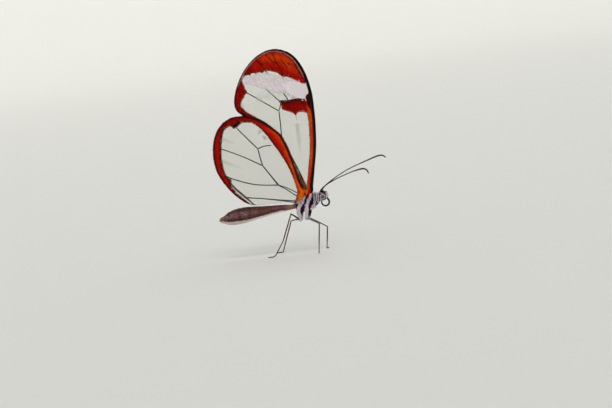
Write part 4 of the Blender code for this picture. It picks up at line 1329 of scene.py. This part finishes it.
def feeler_shape(way, side):
    """A ringed rod: radius times 1 - neck exp(-(distance to the nearest joint / 0.035) squared)."""
    path = line_of(way, side, 0.04)
    run = run_of(path)
    joint = np.abs((run + RING_LENGTH / 2) % RING_LENGTH - RING_LENGTH / 2)
    radii = radii_on(path, FEELER_RADII) * (1 - RING_NECK * np.exp(-((joint / 0.035) ** 2)))
    points, faces = rod(path, radii, FEELER_SIDES, (0.3, side, 0.2))
    tone = 0.55 * np.exp(-((joint / 0.05) ** 2)) + 0.25 * (run / run[-1] > 0.9)
    return points, faces, {"tone": np.concatenate([np.repeat(tone, FEELER_SIDES), [0, 0.3]])}, None


feeler_look = horn_finish("feeler_horn", (0.016, 0.011, 0.007), (0.085, 0.058, 0.030))
for word, side, way in (("left", 1, FEELER_LEFT), ("right", -1, FEELER_RIGHT)):
    add_piece(f"feeler_{word}", feeler_shape(way, side), feeler_look, [f"antenna_{word}"])

# %% [markdown]
# ## Proboscis and palps
# The tongue is rolled under the head as one open ring: two tubes side by side with a groove between
# them and fine ridges across. The two palps stand up before the face, dark inside, grey outside,
# and shaggy with scales.

# %% Proboscis and palps
COIL_CENTRE, COIL_RADIUS, COIL_FROM, COIL_TO = (4.93, 0, 9.22), 0.74, 44, -204
COIL_RADII = (0.175, 0.18, 0.178, 0.172, 0.165, 0.15, 0.115)


def coil_shape():
    """Rings along an arc of a circle. The section's radius is r (1 - 0.16 exp(-(cos a / 0.3)
    squared)), which dents it where the two tubes meet, and a fine wave along the line ridges it."""
    arc = np.radians(np.linspace(COIL_FROM, COIL_TO, 120))
    ring = COIL_RADIUS * np.stack([np.cos(arc), 0 * arc, np.sin(arc)], 1) + COIL_CENTRE
    stem = smooth_line([(5.02, 0, 10.02), (5.32, 0, 9.92), tuple(ring[0])], 8)[:-1]
    path = even_line(np.vstack([stem, ring]), 170)
    radii = radii_on(path, COIL_RADII) * (1 + 0.035 * np.sin(run_of(path) / 0.045))
    section = circle(20)
    section = section * (1 - 0.16 * np.exp(-((section[:, :1] / 0.3) ** 2)))
    points, faces = sweep(path, radii, section, (0, 1, 0))
    return points, faces, {"tone": np.zeros(len(points))}, None


tongue_look = horn_finish("tongue_horn", (0.002, 0.002, 0.0015), (0.012, 0.009, 0.006), 0.4, 0.35, 0.08)
add_piece("tongue", coil_shape(), tongue_look, ["proboscis"])

PALP = [(4.86, 0.20, 9.84), (5.16, 0.28, 9.98), (5.33, 0.33, 10.38), (5.33, 0.37, 10.75), (5.26, 0.39, 11.03)]
PALP_RADII = (0.09, 0.12, 0.135, 0.12, 0.09, 0.04)
palps = []
for side in (1, -1):
    path = line_of(PALP, side, 0.04)
    palps.append((path, radii_on(path, PALP_RADII), (0, side, 0)))


def palp_marks(points, _=0):
    """Pale in front and dark towards the face and at the tip."""
    x, _, z = points.T
    front = x - np.interp(z, (9.86, 10.38, 10.78, 11.10), (5.05, 5.30, 5.27, 5.14))
    return {"pale": 0.30 + 4.5 * front - 1.4 * climb(z, 10.9, 11.1), "warm": 0 * x, "hind": 0 * x}


for (path, radii, across), word in zip(palps, ("left", "right")):
    points, faces = rod(path, radii, 12, across)
    shape = (points, faces, palp_marks(points), None)
    add_piece(f"palp_skin_{word}", shape, skin_look, [f"palp_{word}"])
shape = rod_coat(palps, LOCK, 0.055, 0.22, 0.045, 0.03, (0.15, 0.45), palp_marks, 0.1, 0.1)
add_piece("palp_hair", shape, coat_look)

# %% [markdown]
# ## Walking legs
# Each of the four walking legs has a thick haired coxa, a small trochanter, a long femur and tibia
# and a foot of five short joints with two claws. The short forelegs are folded up under the collar
# and aren't walked on. Every joint is its own tapered rod whose end sinks into the next.

# %% Leg lines
LEGS = {
    # coxa top, trochanter, knee, ankle, heel, toe, as (x, distance from the middle, z)
    "mid_leg_right": [(1.35, 0.88, 7.80), (1.05, 0.85, 6.56), (3.92, 2.75, 5.50), (3.45, 2.98, 1.75),
                      (3.25, 3.05, 0.14), (3.42, 3.85, 0.10)],
    "mid_leg_left": [(1.35, 0.88, 7.80), (1.05, 0.85, 6.56), (3.99, 2.75, 4.22), (3.55, 2.98, 1.60),
                     (3.28, 3.05, 0.14), (3.45, 3.85, 0.10)],
    "hind_leg_right": [(-0.22, 0.85, 7.90), (-0.30, 0.85, 6.38), (-1.27, 2.90, 7.87), (-3.42, 3.15, 2.93),
                       (-5.30, 3.30, 0.14), (-6.70, 3.35, 0.10)],
    "hind_leg_left": [(-0.22, 0.85, 7.90), (-0.30, 0.85, 6.38), (-2.80, 2.10, 6.05), (-4.72, 2.75, 1.75),
                      (-5.40, 2.95, 0.14), (-6.75, 3.00, 0.10)],
}
COXA_ROOT = {"mid": (1.55, 0.62, 9.30), "hind": (0.16, 0.55, 9.25)}
COXA_RADII = {
    "mid": (0.42, 0.50, 0.46, 0.41, 0.36, 0.30, 0.20),
    "hind": (0.40, 0.50, 0.45, 0.37, 0.29, 0.21, 0.14),
}
COXA_SIDE = 0.66  # distance of the coxae from the middle
FEMUR_RADII = {"mid": (0.09, 0.10, 0.105, 0.10, 0.095), "hind": (0.11, 0.13, 0.135, 0.12, 0.10)}
TIBIA_RADII = (0.095, 0.105, 0.108, 0.105, 0.09)
FOOT_RADII = (0.075, 0.085, 0.075)


def mixed(start, end, share):
    """The point that share of the way from start to end."""
    return tuple(np.array(start) * (1 - share) + np.array(end) * share)


def leg_rods(name):
    """The rods of one leg: (kind, path, radii, across), from coxa to toe."""
    side = 1 if name.endswith("left") else -1
    kind = name.split("_")[0]
    top, hinge, knee, ankle, heel, toe = LEGS[name]
    root, top, hinge = COXA_ROOT[kind], (top[0], COXA_SIDE, top[2]), (hinge[0], COXA_SIDE + 0.06, hinge[2])
    made = [("coxa", [root, mixed(root, top, 0.55), top, mixed(top, hinge, 0.5), hinge], COXA_RADII[kind])]
    made.append(("trochanter", [mixed(top, hinge, 0.93), mixed(hinge, knee, 0.07)], (0.16, 0.18, 0.13)))
    sag = np.array(mixed(hinge, knee, 0.5)) + (0, 0, 0.05)
    made.append(("femur", [mixed(hinge, knee, 0.02), tuple(sag), knee], FEMUR_RADII[kind]))
    made.append(("tibia", [knee, mixed(knee, ankle, 0.5), ankle], TIBIA_RADII))
    made.append(("foot", [ankle, mixed(ankle, heel, 0.93)], FOOT_RADII))
    steps = [mixed(ankle, heel, 0.92)] + [mixed(heel, toe, k) for k in (0.22, 0.46, 0.68, 0.93)]
    for start, end in zip(steps[:-1], steps[1:]):
        made.append(("foot", [start, end], FOOT_RADII))
    rods = []
    for kind, line, radii in made:
        path = line_of(line, side, 0.05)
        rods.append((kind, path, radii_on(path, radii), (1.0, 0.25 * side, 0.2)))
    return rods


def spike(root, way, length, radius, bend=(0, 0, 0)):
    """A thin curved cone: radius (1 - share) along root + way share + bend share squared."""
    share = np.linspace(0, 1, 6)[:, None]
    path = np.array(root) + unit(np.array(way, float)) * length * share + np.array(bend) * share**2
    return sweep(path, radius * (1 - share[:, 0]) + 0.002, circle(5), (0.31, 0.45, 0.83))


def spikes_of(rods):
    """Small spines in two rows along tibia and foot, a pair of spurs at the ankle and two claws."""
    made = []
    for kind, path, radii, across in rods:
        if kind not in ("tibia", "foot"):
            continue
        ahead, one, two = frame_on(path, across)
        for k in range(3, len(path) - 2, 6 if kind == "tibia" else 5):
            for way in (one[k] * 0.7 - two[k] * 0.7, -one[k] * 0.7 - two[k] * 0.7):
                made.append(spike(path[k] + way * radii[k] * 0.8, way * 0.6 + ahead[k], 0.17, 0.018))
        if kind == "tibia":
            for way in (one[-1], -one[-1]):
                made.append(spike(path[-2] + way * 0.06, way * 0.35 + ahead[-1], 0.34, 0.028))
    toe = rods[-1][1]
    ahead, _, third = (v[-1] for v in frame_on(toe, (0, 0, 1)))
    for turn in (1, -1):
        way = third * turn
        made.append(spike(toe[-1] + way * 0.03, ahead + way * 0.5, 0.17, 0.035, (0, 0, -0.05)))
    return made


def coxa_marks(points, k):
    """Leg k's coxa is pale outside, black down its front, black on its inner side as painted shade between
    the legs, and darker behind.
    """
    x, y, z = points.T
    (top, *_), (hinge, *_), *_ = list(LEGS.values())[k]
    middle = np.interp(z, (6.3, 7.8, 9.3), [hinge, top, top + 0.2])
    front = climb(x - middle - (0.24 if top > 0 else 0.27), 0, 0.08)
    # The inner side faces the other legs; its black is painted shade.
    inner = climb(COXA_SIDE - np.abs(y), 0.12, 0.20)
    rear = climb(middle - x, 0.36, 0.42)
    return {"pale": 1.3 - 1.7 * np.maximum(front, inner) - 0.9 * rear, "warm": 0 * x, "hind": 0 * x}


leg_look = horn_finish("leg_horn", (0.020, 0.008, 0.005), (0.13, 0.058, 0.032), 0.5, 0.5)
leg_coat, coxa_coat = [], []
for name in LEGS:
    rods = leg_rods(name)
    shapes = [rod(path, radii, 14, across) for _, path, radii, across in rods] + spikes_of(rods)
    points, faces = gather(shapes)
    points[:, 2] = np.maximum(points[:, 2], 0.0)
    tone = np.interp(points[:, 2], (0.0, 1.2, 2.6, 5.4, 6.4, 9), (0.10, 0.35, 0.62, 0.72, 0.42, 0.2))
    add_piece(f"{name}_horn", (points, faces, {"tone": tone}, None), leg_look, [name])
    coxa_coat.append(rods[0][1:])
    leg_coat += [rest for _, *rest in rods[1:]]


def shank_marks(points, k):
    """Dark scales with a pale stripe below each femur, reddish brown on tibia and foot."""
    x, _, z = points.T
    path = leg_coat[k][0]
    level = np.abs(path[-1, 0] - path[0, 0]) > 2.0 and path[:, 2].min() > 3.5
    order = np.argsort(path[:, 0])
    below = np.interp(x, path[order, 0], path[order, 2]) - z if level else 0 * z
    pale = np.interp(z, (0, 1.5, 3, 5.2), (0.0, 0.05, 0.12, 0.06)) + 0.9 * climb(below, 0, 0.05)
    warm = np.interp(z, (0, 1.2, 3.2, 4.6, 5.6), (0.30, 0.42, 0.36, 0.20, 0.0))
    return {"pale": pale, "warm": warm, "hind": np.full(len(z), 0.5)}


shape = rod_coat(coxa_coat, LOCK, 0.075, 0.42, 0.07, 0.035, (0.04, 0.20), coxa_marks, 0.3, 0.05)
add_piece("coxa_hair", shape, coat_look)
shape = rod_coat(leg_coat, SHINGLE, 0.066, 0.12, 0.055, 0.012, (0.02, 0.12), shank_marks, 0.05)
add_piece("leg_scales", shape, coat_look, smooth=False)

# %% [markdown]
# ## Forelegs and wing roots
# The short forelegs are brushes folded against the collar. Above them a haired flap covers each
# forewing's root, and two stems, a red and an orange one, run down behind it, so every wing is seen
# to grow from the thorax. A hem of tufts laps the hindwing's lower edge there.

# %% Forelegs, flaps and stems
FORE_FEMUR = [(3.16, 0.40, 9.30), (2.66, 0.50, 8.74), (2.20, 0.54, 8.32)]
FORE_TIBIA = [(2.14, 0.54, 8.30), (2.52, 0.46, 8.44), (2.92, 0.40, 8.74)]
FLAP = [(2.60, 0.60, 11.12), (2.52, 0.88, 10.86), (2.38, 1.04, 10.50), (2.22, 1.12, 10.15)]
HEM = [(-0.60, 1.00, 9.60), (-0.10, 1.26, 9.66), (0.50, 1.42, 9.84), (0.98, 1.40, 10.12), (1.40, 1.26, 10.62)]
RED_STEM = [
    (2.40, 0.50, 12.20), (2.27, 0.60, 11.60), (2.18, 0.86, 11.10), (2.06, 1.10, 10.66), (1.98, 1.20, 10.36),
]
ORANGE_STEM = [(1.84, 0.60, 12.00), (1.72, 0.62, 11.60), (1.66, 0.88, 11.18), (1.60, 1.10, 10.86)]


def side_rods(line, radii):
    """The same rod on both sides of the body, first the left one."""
    paths = [(side, line_of(line, side, 0.05)) for side in (1, -1)]
    return [(path, radii_on(path, radii), (1.0, 0.3 * side, 0.1)) for side, path in paths]


def lilac_marks(points, _=0):
    """Pale lilac with dark gaps between its streaks."""
    x, _, z = points.T
    return {"pale": 0.85 + 0.50 * np.sin((x - 0.25 * z) * 20), "warm": 0 * x, "hind": 0 * x}


def skinned(rods):
    """Several rods as one shape with the lilac markings."""
    points, faces = gather([rod(path, radii, 12, across) for path, radii, across in rods])
    return points, faces, lilac_marks(points), None


femurs = side_rods(FORE_FEMUR, (0.14, 0.19, 0.17, 0.11))
tibiae = side_rods(FORE_TIBIA, (0.11, 0.12, 0.09, 0.04))
flaps = side_rods(FLAP, (0.08, 0.17, 0.19, 0.16, 0.08))
for k, word in enumerate(("left", "right")):
    shape = skinned([femurs[k], tibiae[k]])
    add_piece(f"foreleg_skin_{word}", shape, skin_look, [f"fore_leg_{word}"])
add_piece("wing_flaps", skinned(flaps), skin_look)
brushes = flaps + femurs + tibiae
shape = rod_coat(brushes, LOCK, 0.08, 0.36, 0.065, 0.035, (0.1, 0.4), lilac_marks, 0.04, 0.1)
add_piece("flap_hair", shape, coat_look)


def hem_tufts():
    """Locks rooted below each hindwing's root, which lie up and back over its lower edge."""
    shapes = []
    for k, (path, radii, across) in enumerate(side_rods(HEM, (0.05, 0.10, 0.11, 0.10, 0.06))):
        roots, normal, _, share, turn = rod_roots(path, radii, across, 0.075)
        out = normal[:, 1] * np.sign(path[0, 1]) > -0.2
        roots, normal, share, turn = roots[out], normal[out], share[out], turn[out]
        lie = np.stack([-0.10 + 0 * share, 0.12 * np.sign(roots[:, 1]), 1 + 0 * share], 1)
        lie = lie + draw.normal(0, 0.22, lie.shape)
        length, lift = draw.uniform(0.18, 0.42, len(roots)), draw.uniform(0.05, 0.3, len(roots))
        shapes.append(strew(LOCK, roots, normal, lie, length, 0.06, 0.035, lift,
                            strip_map(share, turn, k, 2), lilac_marks(roots), 0.1))
    return gather_coats(shapes)


add_piece("hem_hair", hem_tufts(), coat_look)


def stem_finish():
    """Red scales that turn orange with the tone, black along the front where the tone is negative."""
    f = Finish("wing_stem")
    tone = f.value("tone")
    grain = f.noise(f.stretch(f.place(), (0.12, 0.12, 0.5)), 1.0, 2) - 0.5
    colour = f.ramp(tone + grain * 0.6, (0.1, DEEP_RED), (0.35, BRIGHT_RED), (0.7, ORANGE_RED), (1.0, ORANGE))
    colour = f.blend((0.0 - tone).between(0.0, 0.4), colour, EDGE_BLACK)
    return f.surface(Base_Color=colour, Roughness=0.6, Specular_IOR_Level=0.04,
                     Normal=f.bump(grain, 0.02, 0.5))


STEMS = (
    # line, radii, tone, and how fast it darkens along the front
    (RED_STEM, (0.16, 0.27, 0.25, 0.18, 0.06), 0.30, 6.0),
    (ORANGE_STEM, (0.05, 0.20, 0.19, 0.08), 0.88, 0.0),
)
stems, tones = [], []
for line, radii, tone, darkening in STEMS:
    for path, wide, across in side_rods(line, radii):
        stems.append(rod(path, wide, 14, across, 0.55))
        points = stems[-1][0]
        front = points[:, 0] - np.interp(points[:, 2], path[::-1, 2], path[::-1, 0])
        tones.append(tone - darkening * np.clip(front - 0.16, 0, 1))
shape = (*gather(stems), {"tone": np.concatenate(tones)}, None)
add_piece("wing_stems", shape, stem_finish())

# %% [markdown]
# ## Floor and light
# The butterfly stands on a plain pale floor that curves up into a wall all round, far enough away to
# clear any camera. Large soft lamps above and on both sides keep the shadows gentle, and one from
# behind lets the clear wings glow.

# %% Floor and light
FLAT_REACH, BEND, WALL = 1500.0, 700.0, 2400.0


def floor_shape():
    """A dish: flat to FLAT_REACH, then a quarter circle up to a wall, turned round the Z axis."""
    arc, flat = np.linspace(0, math.pi / 2, 16), np.linspace(20, FLAT_REACH, 12)
    out = np.concatenate([flat, FLAT_REACH + BEND * np.sin(arc), [FLAT_REACH + BEND] * 2])
    up = np.concatenate([0 * flat, BEND * (1 - np.cos(arc)), [WALL * 0.7, WALL]])
    ring = circle(96)
    return np.dstack([out[:, None] * ring[:, 0], out[:, None] * ring[:, 1], up[:, None] + 0 * ring[:, 0]])


dish = floor_shape()
count, around = dish.shape[:2]
here = np.arange(count * around).reshape(count, around)
there = np.roll(here, -1, axis=1)
quads = np.stack([here[:-1], here[1:], there[1:], there[:-1]], -1).reshape(-1, 4)
hub = np.stack([here[0], there[0], np.full(around, count * around)], 1)
floor_points = np.vstack([dish.reshape(-1, 3), [(0, 0, 0)]]) * MM
floor_mesh = bpy.data.meshes.new("floor")
floor_mesh.from_pydata(floor_points.tolist(), [], quads.tolist() + hub.tolist())
floor_mesh.shade_smooth()
floor = bpy.data.objects.new("floor", floor_mesh)
bpy.context.scene.collection.objects.link(floor)
floor_look = Finish("floor_paper")
floor_mesh.materials.append(floor_look.surface(Base_Color=(0.80, 0.80, 0.77), Roughness=0.9))

LAMPS = (
    # name, direction it shines from, strength, width in degrees, colour
    ("key", (0.45, -1.0, 0.95), 1.80, 50, (1.0, 0.985, 0.96)),
    ("fill", (-1.0, -0.6, 0.5), 0.50, 70, (0.96, 0.98, 1.0)),
    ("back", (-0.2, 1.0, 0.8), 0.75, 50, (1.0, 0.99, 0.97)),
)
for name, way, strength, width, colour in LAMPS:
    light = bpy.data.lights.new(name, "SUN")
    light.energy, light.angle, light.color = strength, math.radians(width), colour
    lamp = bpy.data.objects.new(name, light)
    lamp.matrix_world = Vector(way).to_track_quat("Z", "Y").to_matrix().to_4x4()
    bpy.context.scene.collection.objects.link(lamp)
world = bpy.data.worlds.new("studio")
world.use_nodes = True
world.node_tree.nodes["Background"].inputs["Color"].default_value = (0.97, 0.98, 1.0, 1)
world.node_tree.nodes["Background"].inputs["Strength"].default_value = 0.62
bpy.context.scene.world = world
